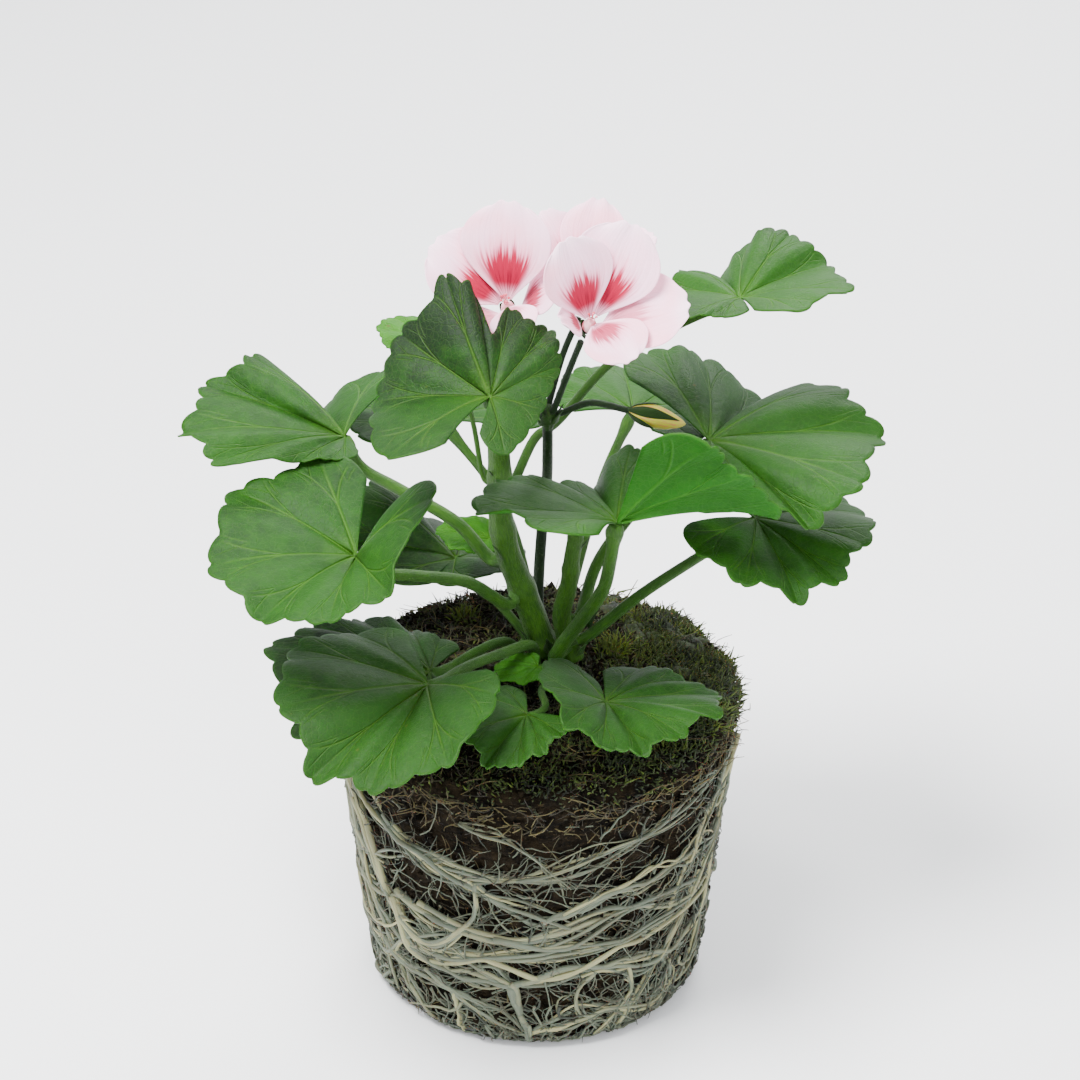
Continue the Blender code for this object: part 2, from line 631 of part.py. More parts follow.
def make_flowers():
    for name, flower in FLOWERS.items():
        for number, shape in enumerate(flower["petals"], 1):
            points, faces = petal(flower["throat"], flower["facing"], *shape)
            add_piece(f"petal_{name}_{number}", points, faces, "petal")
        outline = [(0.9, -9.5), (1.6, -7.5), (2.2, -5.0), (2.4, -3.4)]
        points, faces = turned(outline, 20, lambda a, h: 1 + 0.12 * math.cos(5 * a))
        points = placed(points, flower["throat"], flower["facing"])
        add_piece(f"calyx_{name}", points, faces, "calyx")


def make_umbel():
    """Swollen joint where the pedicels leave the flower stalk, ringed by pointed bracts."""
    def pointed(a, height):
        return 1 + (0.55 * abs(math.cos(3 * a)) ** 2 if 184 < height < 187 else 0.0)

    outline = [(1.3, 181.8), (2.0, 183.0), (2.6, 184.4), (3.0, 185.6), (2.6, 187.0), (1.2, 188.0)]
    points, faces = turned(outline, 24, pointed)
    umbel = add_piece("join_umbel", points + np.array([0.8, 0.3, 0.0]), faces, "calyx")
    grow_on(bpy.data.objects["flower_stalk"], umbel)
    outline = [(0.9, 0.4), (2.3, 2.6), (3.5, 6.0), (3.7, 9.0), (3.0, 12.5), (1.7, 15.4), (0.5, 17.2)]
    points, faces = turned(outline, 16)
    add_piece("flower_bud", placed(points, (22.8, -4.8, 190.4), (0.96, -0.16, -0.18)), faces, "calyx")


def main():
    clear_scene()
    make_plug()
    make_root_net()
    make_moss()
    make_stems()
    make_leaves()
    make_young_leaves()
    make_umbel()
    make_flowers()


main()
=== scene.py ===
import math

import bpy
import numpy as np
from mathutils import Matrix, Vector, noise


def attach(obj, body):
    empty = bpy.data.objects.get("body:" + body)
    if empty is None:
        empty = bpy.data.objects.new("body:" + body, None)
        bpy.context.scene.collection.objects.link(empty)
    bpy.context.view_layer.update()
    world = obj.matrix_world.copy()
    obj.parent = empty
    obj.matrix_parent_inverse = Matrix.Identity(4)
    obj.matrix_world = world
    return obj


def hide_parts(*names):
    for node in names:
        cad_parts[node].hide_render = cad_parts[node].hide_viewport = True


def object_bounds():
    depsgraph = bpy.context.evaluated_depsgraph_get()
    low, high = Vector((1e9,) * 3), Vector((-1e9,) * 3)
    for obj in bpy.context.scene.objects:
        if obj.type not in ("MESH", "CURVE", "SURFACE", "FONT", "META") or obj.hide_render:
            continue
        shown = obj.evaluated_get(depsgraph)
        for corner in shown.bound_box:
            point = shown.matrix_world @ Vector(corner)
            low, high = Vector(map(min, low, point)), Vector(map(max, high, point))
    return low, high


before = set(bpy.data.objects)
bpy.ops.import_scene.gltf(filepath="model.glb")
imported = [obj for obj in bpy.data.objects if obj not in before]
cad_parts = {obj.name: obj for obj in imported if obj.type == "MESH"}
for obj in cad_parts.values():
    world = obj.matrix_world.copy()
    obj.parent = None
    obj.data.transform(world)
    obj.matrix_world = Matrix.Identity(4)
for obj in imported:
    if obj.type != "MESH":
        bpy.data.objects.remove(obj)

CAD_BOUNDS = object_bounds()
MM = 0.001

# ------------------------------------------------ the plant's own shape, millimetres and degrees

PLEAT = 0.045
ARCH = 0.05
BASAL_TURN = 24.0
BASAL_REACH = 0.72
PLANT_OFFSET = 2.5  # the stems stand this far to the right of the middle of the root ball

# "veins" run counter-clockwise from the basal gap: bearing, slope, length.
LEAVES = {
    "top_front": {
        "junction": (-15, -38, 211),
        "veins": [(-77, -25, 20), (-5, -14, 15), (34, 8, 24), (52, 22, 29), (78, 34, 28), (102, 40, 33),
                  (118, 44, 38), (138, 14, 36), (162, -12, 35), (-141, -10, 36)],
        "stalk": [(-12.5, -5.6, 181), (-13, -13, 192), (-14.4, -26, 202.5), (-15, -36.5, 208.6)],
        "stalk_radius": 1.6,
        "dips": {4: 0.48, 6: 0.16},
        # painted shade darkening the upper lobes: vein count, width, amount
        "painted_shade_lobes": [(5.2, 1.9, 1.1)],
    },
    "left_upper": {
        "junction": (-58, 14, 172),
        "veins": [(75, 8, 36), (114, -14, 34), (140, 22, 41), (157, 9, 46), (-168, 8, 48),
                  (-146, 6, 45), (-124, 2, 22), (-88, 0, 14)],
        "stalk": [(-16.5, 8.5, 135), (-26, 10, 146), (-42, 13, 155), (-53, 15, 161), (-57.5, 14.6, 169)],
        "stalk_radius": 1.8,
    },
    "left_middle": {
        "junction": (-53, -30, 157),
        "veins": [(111, 24, 37), (150, 13, 42), (-164, 5, 43), (-127, -1, 43), (-97, 2, 42),
                  (-74, 14, 40), (-33, 46, 38)],
        "stalk": [(-11.5, 0.5, 124), (-22, -8, 136), (-36, -20, 145), (-46, -27, 150), (-51.5, -29, 154.5)],
        "stalk_radius": 1.7,
    },
    "left_low": {
        "junction": (-33, -45, 124),
        "veins": [(128, 2, 36), (159, 2, 43), (-160, 2, 44), (-135, -13, 46), (-112, -17, 43),
                  (-80, -6, 38), (-37, 14, 26)],
        "stalk": [(-3, 1, 105), (-4.5, -3, 112), (-12, -14, 116), (-23, -30, 120.5), (-31, -42, 121.8)],
        "stalk_radius": 1.6,
    },
    "left_under": {
        "junction": (-33, -25, 116),
        "veins": [(84, -5, 22), (104, -6, 32), (125, -1, 38), (148, 3, 42), (170, 4, 48),
                  (-160, -14, 44), (-138, -24, 40), (-110, -24, 34), (-80, -10, 24)],
        "stalk": [(-7.5, 2.5, 106), (-12, -1, 112), (-20, -10, 114), (-30, -22, 114)],
        "stalk_radius": 1.5,
    },
    "front_low": {
        "junction": (-5, -45, 114),
        "veins": [(117, 0, 17), (150, 4, 20), (-146, 2, 22), (-122, -12, 24), (-97, -8, 23),
                  (-76, 0, 21), (-56, 8, 18)],
        "stalk": [(3.6, -3.5, 103.8), (2.5, -9, 105.2), (-1, -22, 108.3), (0, -34, 110), (-4.2, -43, 112)],
        "stalk_radius": 1.1,
    },
    "right_low": {
        "junction": (17, -40, 115),
        "veins": [(124, 4, 26), (-160, 26, 21), (-115, 18, 30), (-93, 9, 34), (-72, 4, 35),
                  (-50, 9, 34), (-24, 6, 35), (14, -6, 34), (41, -8, 32), (67, -8, 28)],
        "stalk": [(8, -4, 104.5), (9.5, -10, 107.5), (13, -22, 109), (16, -34, 110.4), (16.8, -39, 112.1)],
        "stalk_radius": 1.2,
    },
    "front_right": {
        "junction": (20, -25, 165),
        "veins": [(-30, 48, 44), (-21, 30, 44), (-10, 8, 48), (26, -6, 30), (56, -8, 30),
                  (82, 9, 36), (102, -8, 32), (122, -2, 32), (152, 6, 38), (-165, 13, 42), (-129, 20, 34)],
        "stalk": [(3, -2.5, 108), (6, -5, 115), (11, -9, 125), (16.5, -14, 137), (18.5, -20, 150),
                  (19.6, -24, 162)],
        "stalk_radius": 2.0,
    },
    "right_upper": {
        "junction": (47, 6, 175),
        "veins": [(-92, 2, 22), (-70, -8, 32), (-50, -13, 46), (-30, -2, 50), (8, -2, 51),
                  (34, 6, 48), (64, -9, 43), (90, 6, 46), (116, 14, 44)],
        "stalk": [(10.5, 8, 116), (16, 11, 133), (30, 10, 155), (45.5, 6.5, 172)],
        "stalk_radius": 1.7,
    },
    "right_lower": {
        "junction": (61, 5, 150),
        "veins": [(-130, 4, 30), (-98, -6, 34), (-72, -15, 36), (-49, -10, 36), (-28, 0, 36),
                  (18, -7, 36), (62, -12, 36), (98, -10, 32)],
        "stalk": [(12.5, 4, 111), (28, 2.5, 126), (45, 4, 138), (59, 5, 147.3)],
        "stalk_radius": 1.6,
    },
    "right_top": {
        "junction": (56, 25, 211),
        "veins": [(-57, 15, 28), (-8, 8, 32), (38, 2, 34), (62, 12, 36), (82, 6, 34),
                  (102, -14, 26), (120, -5, 30), (146, -10, 28), (-130, 6, 26), (-107, 9, 20)],
        "stalk": [(-9, 5.5, 162), (-3, 13, 172), (4, 17, 176), (20, 20, 194), (42, 24, 205), (54, 25, 209)],
        "stalk_radius": 1.3,
    },
    "back_left_low": {
        "junction": (-27, 40, 117),
        "veins": [(-93, 5, 20), (-27, 8, 22), (40, -10, 24), (84, -12, 28), (122, 2, 34),
                  (148, 26, 38), (174, 8, 34), (-136, 6, 27)],
        "stalk": [(-6, 15, 105), (-14, 20, 113), (-21, 29, 114), (-26.5, 38.5, 115)],
        "stalk_radius": 1.3,
    },
    "back_right": {
        "junction": (26, 48, 163),
        "veins": [(-50, 4, 28), (-14, -4, 32), (22, -8, 36), (58, -10, 38), (94, -4, 36),
                  (130, 2, 30), (166, 4, 24)],
        "stalk": [(4.5, 14.5, 104), (9, 21, 122), (17, 35, 146), (25, 46.7, 160.5)],
        "stalk_radius": 1.5,
    },
    "back_left": {
        "junction": (-30, 52, 158),
        "veins": [(-8, 2, 30), (28, -6, 35), (64, -10, 38), (100, -10, 39), (136, -4, 38),
                  (172, 2, 35), (-152, 4, 30)],
        "stalk": [(-4.5, 19, 103.5), (-6, 26, 120), (-14, 38, 140), (-28.8, 50.5, 155.5)],
        "stalk_radius": 1.5,
    },
}

YOUNG_LEAVES = {
    "crown_front": {
        "junction": (-2, -13, 110.6),
        "veins": [(110, 0, 8), (150, -2, 11), (180, -5, 13), (-150, -4, 13), (-115, 0, 11), (-75, 2, 8),
                  (-35, 0, 6)],
        "stalk": [(3.6, -7.6, 107.5), (1, -10, 109.4), (-2, -13, 110.4)],
        "stalk_radius": 0.9,
    },
    "stem_left": {
        "junction": (-16.5, 20, 135),
        "veins": [(50, 0, 8), (95, 2, 12), (140, 6, 15), (178, 8, 16), (-145, 6, 15), (-115, 3, 11),
                  (-80, 0, 8)],
        "stalk": [(-9.5, 11.5, 128), (-13, 16, 132), (-16.5, 20, 134.8)],
        "stalk_radius": 0.9,
    },
    "stem_top": {
        "junction": (-33, 14, 203),
        "veins": [(45, 2, 9), (95, 6, 12), (140, 10, 15), (178, 12, 16), (-145, 10, 15), (-105, 8, 13),
                  (-60, 2, 10)],
        "stalk": [(-18, 3.5, 165), (-22, 9, 184), (-33, 14, 202.7)],
        "stalk_radius": 0.9,
    },
}

# Stems: path, radius at each end
STEMS = {
    "main_stem": ([(0, 8, 103.3), (-3, 8, 114), (-7, 6, 127), (-11, 4, 140), (-13, 2, 155),
                   (-13, 0, 169), (-13.5, 0, 182)], 4.2, 3.1),
    "side_shoot": ([(8.5, 5, 103.1), (5, 4.5, 117), (7, 2, 130), (8, 0, 141), (9, 0, 148)], 3.0, 2.1),
    "flower_stalk": ([(-1.5, 15.5, 102.6), (-2, 15.5, 119), (-1, 14, 140), (0.5, 9.5, 160),
                      (0.7, 4, 173), (0.7, 0.6, 183.5)], 1.7, 1.5),
    "pedicel_left": ([(-1, -2.2, 189.2), (-4, -4, 202), (-9, -1, 213.5)], 0.75, 0.75),
    "pedicel_right": ([(2.6, -1.6, 189.4), (6, -3, 200), (9.5, -7.5, 212)], 0.75, 0.75),
    "pedicel_back": ([(1.2, 3.2, 189), (5, 7, 202), (9, 9, 211.5)], 0.75, 0.75),
    "pedicel_bud": ([(5.4, -0.6, 187.6), (13, -2.5, 191.5), (22.6, -4.7, 190.4)], 0.7, 0.8),
}

# Flowers: throat, the way the face looks, and each petal as
# bearing round the face, length, width, first and last opening, lift.
FLOWERS = {
    "left": {
        "throat": (-10.8, -5, 223.5),
        "facing": (-0.15, -0.58, 0.80),
        "petals": [(80, 29, 26, 30, 58, 0.0), (143, 26, 24, 36, 76, 2.0), (4, 18, 15, 38, 58, 4.0),
                   (-70, 15, 14, 42, 84, 0.0), (-142, 19, 17, 44, 88, 3.6)],
    },
    "right": {
        "throat": (12.5, -14.5, 222.5),
        "facing": (0.12, -0.62, 0.775),
        "petals": [(122, 26, 22, 28, 50, 0.0), (66, 29, 25, 30, 58, 3.2), (4, 27, 23, 38, 78, 4.4),
                   (-56, 20, 19, 40, 84, 0.0), (-160, 12, 11, 26, 50, 2.0)],
    },
    "back": {
        "throat": (11, 7, 223),
        "facing": (0.05, -0.25, 0.97),
        "petals": [(132, 24, 18, 20, 62, 2.8), (78, 25, 19, 20, 55, 0.0), (22, 24, 19, 26, 68, 2.8),
                   (-52, 12, 9, 46, 86, 0.0), (-148, 11, 9, 48, 86, 0.0)],
    },
}


# ---------------------------------------------------------------- shader writing

class Wire:
    """One socket of a material's node tree, with the arithmetic written as plain expressions."""

    def __init__(self, tree, socket):
        self.tree = tree
        self.socket = socket

    def _math(self, operation, *values):
        node = self.tree.nodes.new("ShaderNodeMath")
        node.operation = operation
        for slot, value in zip(node.inputs, values):
            if isinstance(value, Wire):
                self.tree.links.new(value.socket, slot)
            else:
                slot.default_value = value
        return Wire(self.tree, node.outputs[0])

    def __add__(self, other):
        return self._math("ADD", self, other)

    def __radd__(self, other):
        return self._math("ADD", other, self)

    def __sub__(self, other):
        return self._math("SUBTRACT", self, other)

    def __rsub__(self, other):
        return self._math("SUBTRACT", other, self)

    def __mul__(self, other):
        return self._math("MULTIPLY", self, other)

    def __rmul__(self, other):
        return self._math("MULTIPLY", other, self)

    def __truediv__(self, other):
        return self._math("DIVIDE", self, other)

    def __pow__(self, other):
        return self._math("POWER", self, other)

    def __abs__(self):
        return self._math("ABSOLUTE", self)

    def round(self):
        return self._math("ROUND", self)

    def step(self, low, high):
        """0 at low, 1 at high, eased between; low may be above high."""
        share = self._math("DIVIDE", self - low, high - low)
        share.socket.node.use_clamp = True
        return share * share * (3.0 - 2.0 * share)

    def most(self, other):
        return self._math("MAXIMUM", self, other)


class Finish:
    """A material under construction round one Principled shader."""

    def __init__(self, name, roughness=0.5, **fixed):
        self.material = bpy.data.materials.new(name)
        self.material.use_nodes = True
        self.tree = self.material.node_tree
        self.shader = self.tree.nodes["Principled BSDF"]
        self.shader.inputs["Roughness"].default_value = roughness
        for label, value in fixed.items():
            self.shader.inputs[label.replace("_", " ")].default_value = value

    def node(self, kind, settings=None, **inputs):
        made = self.tree.nodes.new(kind)
        for key, value in (settings or {}).items():
            setattr(made, key, value)
        for label, value in inputs.items():
            socket = made.inputs[label.replace("_", " ")]
            if isinstance(value, Wire):
                self.tree.links.new(value.socket, socket)
            else:
                socket.default_value = value
        return made

    def out(self, made, label=0):
        return Wire(self.tree, made.outputs[label])

    def place(self):
        return self.out(self.node("ShaderNodeTexCoord"), "Object")

    def attribute(self, name):
        return self.out(self.node("ShaderNodeAttribute", {"attribute_name": name}), "Fac")

    def noise(self, scale, detail=3.0, where=None, roughness=0.55):
        made = self.node("ShaderNodeTexNoise", Vector=where or self.place(), Scale=scale, Detail=detail,
                         Roughness=roughness)
        return self.out(made, "Fac")

    def cells(self, scale, where=None, feature="F1"):
        where = where or self.place()
        made = self.node("ShaderNodeTexVoronoi", {"feature": feature}, Vector=where, Scale=scale)
        return self.out(made, "Distance")

    def mix(self, share, first, second):
        made = self.tree.nodes.new("ShaderNodeMix")
        made.data_type = "RGBA"
        for slot, value in ((made.inputs[0], share), (made.inputs[6], first), (made.inputs[7], second)):
            if isinstance(value, Wire):
                self.tree.links.new(value.socket, slot)
            elif isinstance(value, tuple):
                slot.default_value = (*value, 1.0)
            else:
                slot.default_value = value
        return Wire(self.tree, made.outputs[2])

    def uv(self):
        split = self.node("ShaderNodeSeparateXYZ", Vector=self.out(self.node("ShaderNodeTexCoord"), "UV"))
        return self.out(split, 0), self.out(split, 1)

    def colour(self, wire):
        self.tree.links.new(wire.socket, self.shader.inputs["Base Color"])

    def rough(self, wire):
        self.tree.links.new(wire.socket, self.shader.inputs["Roughness"])

    def bump(self, height, distance, strength=1.0):
        made = self.node("ShaderNodeBump", Height=height, Distance=distance, Strength=strength)
        self.tree.links.new(made.outputs[0], self.shader.inputs["Normal"])


# ---------------------------------------------------------------- small geometry tools

def unit(v):
    return v / np.maximum(np.linalg.norm(v, axis=-1, keepdims=True), 1e-9)


def direction(bearing, slope):
    b, s = math.radians(bearing), math.radians(slope)
    return np.array([math.cos(s) * math.cos(b), math.cos(s) * math.sin(b), math.sin(s)])


def turn_about(v, axis, degrees):
    a = math.radians(degrees)
    return v * math.cos(a) + np.cross(axis, v) * math.sin(a) + axis * np.dot(axis, v) * (1 - math.cos(a))


def smooth_path(points, steps):
    p = np.array(points, float)
    p = np.vstack([2 * p[0] - p[1], p, 2 * p[-1] - p[-2]])
    out = []
    for i in range(1, len(p) - 2):
        a, b, c, d = p[i - 1], p[i], p[i + 1], p[i + 2]
        for t in np.arange(steps) / steps:
            out.append(0.5 * (2 * b + (c - a) * t + (2 * a - 5 * b + 4 * c - d) * t * t
                              + (3 * b - a - 3 * c + d) * t ** 3))
    out.append(p[-2])
    return np.array(out)


def make_mesh(name, points, faces, materials, uv=None, values=None):
    """Object from points in millimetres; uv per point; values are named numbers per point."""
    mesh = bpy.data.meshes.new(name)
    mesh.from_pydata((np.asarray(points, float) * MM).tolist(), [], faces)
    for finish in materials:
        mesh.materials.append(finish)
    if uv is not None:
        layer = mesh.uv_layers.new(name="UVMap")
        corners = np.empty(len(mesh.loops), np.int32)
        mesh.loops.foreach_get("vertex_index", corners)
        layer.data.foreach_set("uv", np.asarray(uv, np.float32)[corners].ravel())
    for key, numbers in (values or {}).items():
        layer = mesh.attributes.new(key, "FLOAT", "POINT")
        layer.data.foreach_set("value", np.asarray(numbers, np.float32))
    mesh.update()
    mesh.shade_smooth()
    piece = bpy.data.objects.new(name, mesh)
    bpy.context.scene.collection.objects.link(piece)
    return piece


def apply_modifier(piece, kind, **settings):
    bpy.ops.object.select_all(action="DESELECT")
    piece.select_set(True)
    bpy.context.view_layer.objects.active = piece
    made = piece.modifiers.new(kind.lower(), kind)
    for key, value in settings.items():
        setattr(made, key, value)
    bpy.ops.object.modifier_apply(modifier=made.name)


def settle(piece, node, slot):
    """Shift a plant piece onto the stems, ride it on the plant, and hide the part that it stands for."""
    if slot not in ("peat", "roots", "moss"):
        piece.data.transform(Matrix.Translation((PLANT_OFFSET * MM, 0.0, 0.0)))
    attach(piece, "root")
    if node:
        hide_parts(node)


def grid_faces(rows, columns, wrap=False):
    faces = []
    across = columns if wrap else columns - 1
    for r in range(rows - 1):
        for c in range(across):
            n = (c + 1) % columns
            faces.append((r * columns + c, r * columns + n, (r + 1) * columns + n, (r + 1) * columns + c))
    return faces


# ---------------------------------------------------------------- materials

def leaf_finish(name, light, middle, dark, vein, underside=False):
    """Felted blade: palmate veins that fork outwards, mottled green, pale hairy margin, small specks; the
    shade value paints light and shade on it, and the pale margin is partly hair colour, partly a painted
    sheen highlight.
    """
    f = Finish(name, roughness=0.55, Subsurface_Weight=0.22, Subsurface_Scale=0.0012,
               Subsurface_Radius=(0.35, 1.0, 0.12), Sheen_Weight=0.0, Sheen_Roughness=0.4,
               Specular_IOR_Level=0.16)
    u, v = f.uv()
    fork = abs(u - u.round())
    along = v * 9.0
    main = (fork * along).step(0.26, 0.02) * v.step(1.02, 0.55)
    second = abs(fork - (v - 0.46) * 0.62) * along
    second = second.step(0.17, 0.02) * v.step(0.44, 0.52) * v.step(1.0, 0.75)
    third = abs(abs(fork - 0.24) - (v - 0.70) * 0.45) * along
    third = third.step(0.12, 0.02) * v.step(0.70, 0.76) * v.step(1.0, 0.86)
    veins = main.most(second * 0.7).most(third * 0.4)
    web = f.cells(620.0, feature="DISTANCE_TO_EDGE").step(0.10, 0.0)
    broad = f.noise(34.0, 4.0).step(0.34, 0.68)
    fine = f.noise(260.0, 3.0).step(0.30, 0.72)
    # shade value mixes the blade towards light or dark: partly the leaf's own tone, partly painted light and
    # shade
    shade = f.attribute("shade")
    colour = f.mix(broad, dark, middle)
    colour = f.mix(fine * 0.45, colour, light)
    colour = f.mix(shade.step(0.35, 1.0) * 0.75, colour, light)
    colour = f.mix(shade.step(0.35, 0.0) * 0.90, colour, dark)
    heart = v.step(0.34, 0.0)
    colour = f.mix(heart * 0.35, colour, vein)
    colour = f.mix(web * (0.30 if underside else 0.14), colour, vein)
    colour = f.mix(veins * (0.80 if underside else 0.62), colour, vein)
    # pale margin: partly the colour of the edge hairs, partly a painted sheen highlight
    rim = v.step(0.975, 1.0)
    colour = f.mix(rim * 0.35, colour, (0.024, 0.090, 0.003))
    specks = f.cells(95.0).step(0.075, 0.03) * f.noise(70.0, 1.0).step(0.52, 0.60)
    colour = f.mix(specks * 0.6, colour, (0.075, 0.065, 0.012))
    f.colour(colour)
    lift = 1.0 if underside else -1.0
    felt = f.noise(2600.0, 2.0)
    f.bump(lift * veins * 0.9 + web * lift * 0.10 + felt * 0.20 + fine * 0.22, 0.0007, 0.75)
    f.rough(0.50 + 0.16 * felt)
    return f.material


def stem_finish(name, light, dark):
    """Hairy green stem: long streaks and blotches of darker and lighter green, with a fine fuzz bump."""
    f = Finish(name, roughness=0.5, Subsurface_Weight=0.15, Subsurface_Scale=0.0012,
               Subsurface_Radius=(0.4, 1.0, 0.15), Sheen_Weight=0.03, Sheen_Roughness=0.35,
               Specular_IOR_Level=0.25)
    u, v = f.uv()
    join = f.node("ShaderNodeCombineXYZ", X=u * 9.0, Y=v * 1.2)
    streaks = f.noise(3.0, 4.0, where=f.out(join)).step(0.30, 0.70)
    blotch = f.noise(120.0, 3.0).step(0.35, 0.68)
    colour = f.mix(streaks * 0.6 + blotch * 0.3, dark, light)
    f.colour(colour)
    fuzz = f.noise(2400.0, 2.0)
    f.bump(streaks * 0.5 + fuzz * 0.8, 0.0004, 0.8)
    f.rough(0.42 + 0.2 * fuzz)
    return f.material


def petal_finish(name, with_eye=True):
    """Very pale pink petal, white towards the rim, with a feathered cerise eye along its veins."""
    f = Finish(name, roughness=0.5, Subsurface_Weight=0.06, Subsurface_Scale=0.0005,
               Subsurface_Radius=(1.0, 0.55, 0.6), Sheen_Weight=0.0, Specular_IOR_Level=0.2)
    u, v = f.uv()
    side = abs(u - 0.5) * 2.0
    fan = f.node("ShaderNodeCombineXYZ", X=(u - 0.5) * 26.0, Y=v * 1.6)
    rays = f.noise(1.0, 3.0, where=f.out(fan))
    broad = f.noise(90.0, 3.0)
    flush = f.noise(45.0, 2.0).step(0.38, 0.66)
    base = f.mix(flush * 0.6, (0.92, 0.58, 0.72), (0.92, 0.36, 0.45))
    base = f.mix(v.step(0.80, 1.0) * 0.5, base, (0.94, 0.72, 0.83))
    reach = v + side * side * 0.34 + (rays - 0.5) * 0.55 + (broad - 0.5) * 0.12
    eye = reach.step(0.60, 0.44) * v.step(0.06, 0.20) * side.step(0.86, 0.50)
    halo = reach.step(0.74, 0.48) * v.step(0.02, 0.16) * side.step(0.98, 0.55)
    strength = f.attribute("shade")
    colour = f.mix(halo * 0.50 * strength, base, (0.70, 0.035, 0.15))
    colour = f.mix(eye * strength, colour, (0.33, 0.0006, 0.030))
    deep = (reach.step(0.44, 0.30) * rays.step(0.45, 0.62)) * strength
    colour = f.mix(deep * 0.7, colour, (0.13, 0.0003, 0.010))
    if with_eye:
        f.colour(colour)
    else:
        f.colour(f.mix(rays * 0.3, (0.92, 0.58, 0.70), (0.92, 0.38, 0.47)))
    veins = rays.step(0.40, 0.60)
    f.bump(veins * 0.5 + broad * 0.6, 0.0005, 0.30)
    return f.material


def peat_finish():
    """Dark fibrous peat: near-black crumbs, brown fibre, a few grey grains."""
    f = Finish("peat_soil", roughness=0.95, Specular_IOR_Level=0.08)
    clods = f.noise(150.0, 6.0, roughness=0.7)
    fibre = f.node("ShaderNodeMapping", Vector=f.place(), Scale=(1.0, 1.0, 3.5))
    strands = f.noise(420.0, 4.0, where=f.out(fibre), roughness=0.7)
    grains = f.cells(700.0)
    colour = f.mix(clods.step(0.36, 0.66), (0.0016, 0.0013, 0.0008), (0.0150, 0.0105, 0.0050))
    colour = f.mix(strands.step(0.56, 0.72) * 0.8, colour, (0.048, 0.034, 0.016))
    colour = f.mix(grains.step(0.16, 0.04) * 0.5, colour, (0.050, 0.048, 0.038))
    f.colour(colour)
    f.bump(clods * 1.0 + strands * 0.8 + grains * 0.5, 0.0016, 1.0)
    return f.material


def root_finish():
    """Living root: cream and grey-green, paler on thick strands, with lengthwise streaks and soil stains."""
    f = Finish("living_root", roughness=0.62, Subsurface_Weight=0.12, Subsurface_Scale=0.0008,
               Specular_IOR_Level=0.35)
    tone = f.attribute("shade")
    u, v = f.uv()
    join = f.node("ShaderNodeCombineXYZ", X=u * 6.0, Y=v * 0.25)
    streaks = f.noise(3.0, 4.0, where=f.out(join))
    stain = f.noise(85.0, 4.0).step(0.42, 0.66)
    colour = f.mix(tone.step(0.0, 0.55), (0.018, 0.020, 0.012), (0.110, 0.128, 0.085))
    colour = f.mix(tone.step(0.55, 1.0), colour, (0.290, 0.280, 0.135))
    colour = f.mix(streaks.step(0.35, 0.7) * 0.45, colour, (0.070, 0.095, 0.075))
    colour = f.mix(stain * 0.30, colour, (0.060, 0.050, 0.022))
    f.colour(colour)
    f.bump(streaks + f.noise(900.0, 2.0) * 0.6, 0.0003, 0.8)
    return f.material


def moss_finish(name, low, high):
    f = Finish(name, roughness=0.8, Subsurface_Weight=0.1, Subsurface_Scale=0.0008)
    tone = f.attribute("shade")
    patch = f.noise(80.0, 3.0).step(0.38, 0.64)
    colour = f.mix(tone * 0.75 + patch * 0.25, low, high)
    f.colour(colour)
    f.bump(f.noise(1500.0, 3.0), 0.0005, 0.8)
    return f.material


def bud_finish():
    f = Finish("bud_petals", roughness=0.45, Subsurface_Weight=0.25, Subsurface_Scale=0.001)
    u, v = f.uv()
    fold = f.noise(5.0, 3.0, where=f.out(f.node("ShaderNodeCombineXYZ", X=u * 4.0, Y=v * 1.5)))
    colour = f.mix(fold.step(0.46, 0.70), (0.58, 0.56, 0.05), (0.66, 0.20, 0.12))
    colour = f.mix(v.step(0.75, 1.0) * 0.6, colour, (0.42, 0.42, 0.07))
    f.colour(colour)
    f.bump(fold, 0.0006, 0.5)
    return f.material


FINISHES = {
    "blade": leaf_finish("geranium_blade", (0.0115, 0.066, 0.0014), (0.0050, 0.036, 0.0008),
                         (0.0018, 0.013, 0.0005), (0.038, 0.112, 0.0060)),
    "blade_under": leaf_finish("geranium_blade_underside", (0.0095, 0.092, 0.0022), (0.0050, 0.062, 0.0016),
                               (0.0028, 0.034, 0.0012), (0.024, 0.120, 0.006), underside=True),
    # darker copy of the blade finish: painted shade for the leaves that sit in shade under the others
    "blade_painted_shade": leaf_finish("geranium_blade_painted_shade", (0.0100, 0.054, 0.0014), (0.0042, 0.028, 0.0008),
                               (0.0014, 0.0095, 0.0005), (0.034, 0.088, 0.0052)),
    "young": leaf_finish("young_blade", (0.034, 0.160, 0.0022), (0.018, 0.105, 0.0016),
                         (0.0080, 0.058, 0.0012),
                         (0.062, 0.190, 0.005)),
    "stem": stem_finish("hairy_green_stem", (0.038, 0.115, 0.0032), (0.0110, 0.048, 0.0014)),
    "stalk": stem_finish("leaf_stalk_green", (0.036, 0.115, 0.0032), (0.0100, 0.048, 0.0014)),
    "flower_stalk": stem_finish("dark_flower_stalk", (0.0070, 0.029, 0.0022), (0.0018, 0.0090, 0.0011)),
    "calyx": stem_finish("calyx_green", (0.019, 0.064, 0.0026), (0.0048, 0.023, 0.0012)),
    "petal": petal_finish("bicolour_petal"),
    "petal_back": petal_finish("petal_outside", with_eye=False),
    "peat": peat_finish(),
    "root": root_finish(),
    "moss": moss_finish("moss_shoots", (0.0022, 0.0060, 0.0006), (0.085, 0.135, 0.0035)),
    "fibre": moss_finish("peat_fibres", (0.004, 0.003, 0.002), (0.105, 0.088, 0.026)),
    "bud": bud_finish(),
}


# ---------------------------------------------------------------- leaves

RAYS_PER_VEIN = 24
BASAL_RAYS = 10
BLADE_RINGS = 30
TEETH_PER_LOBE = 3


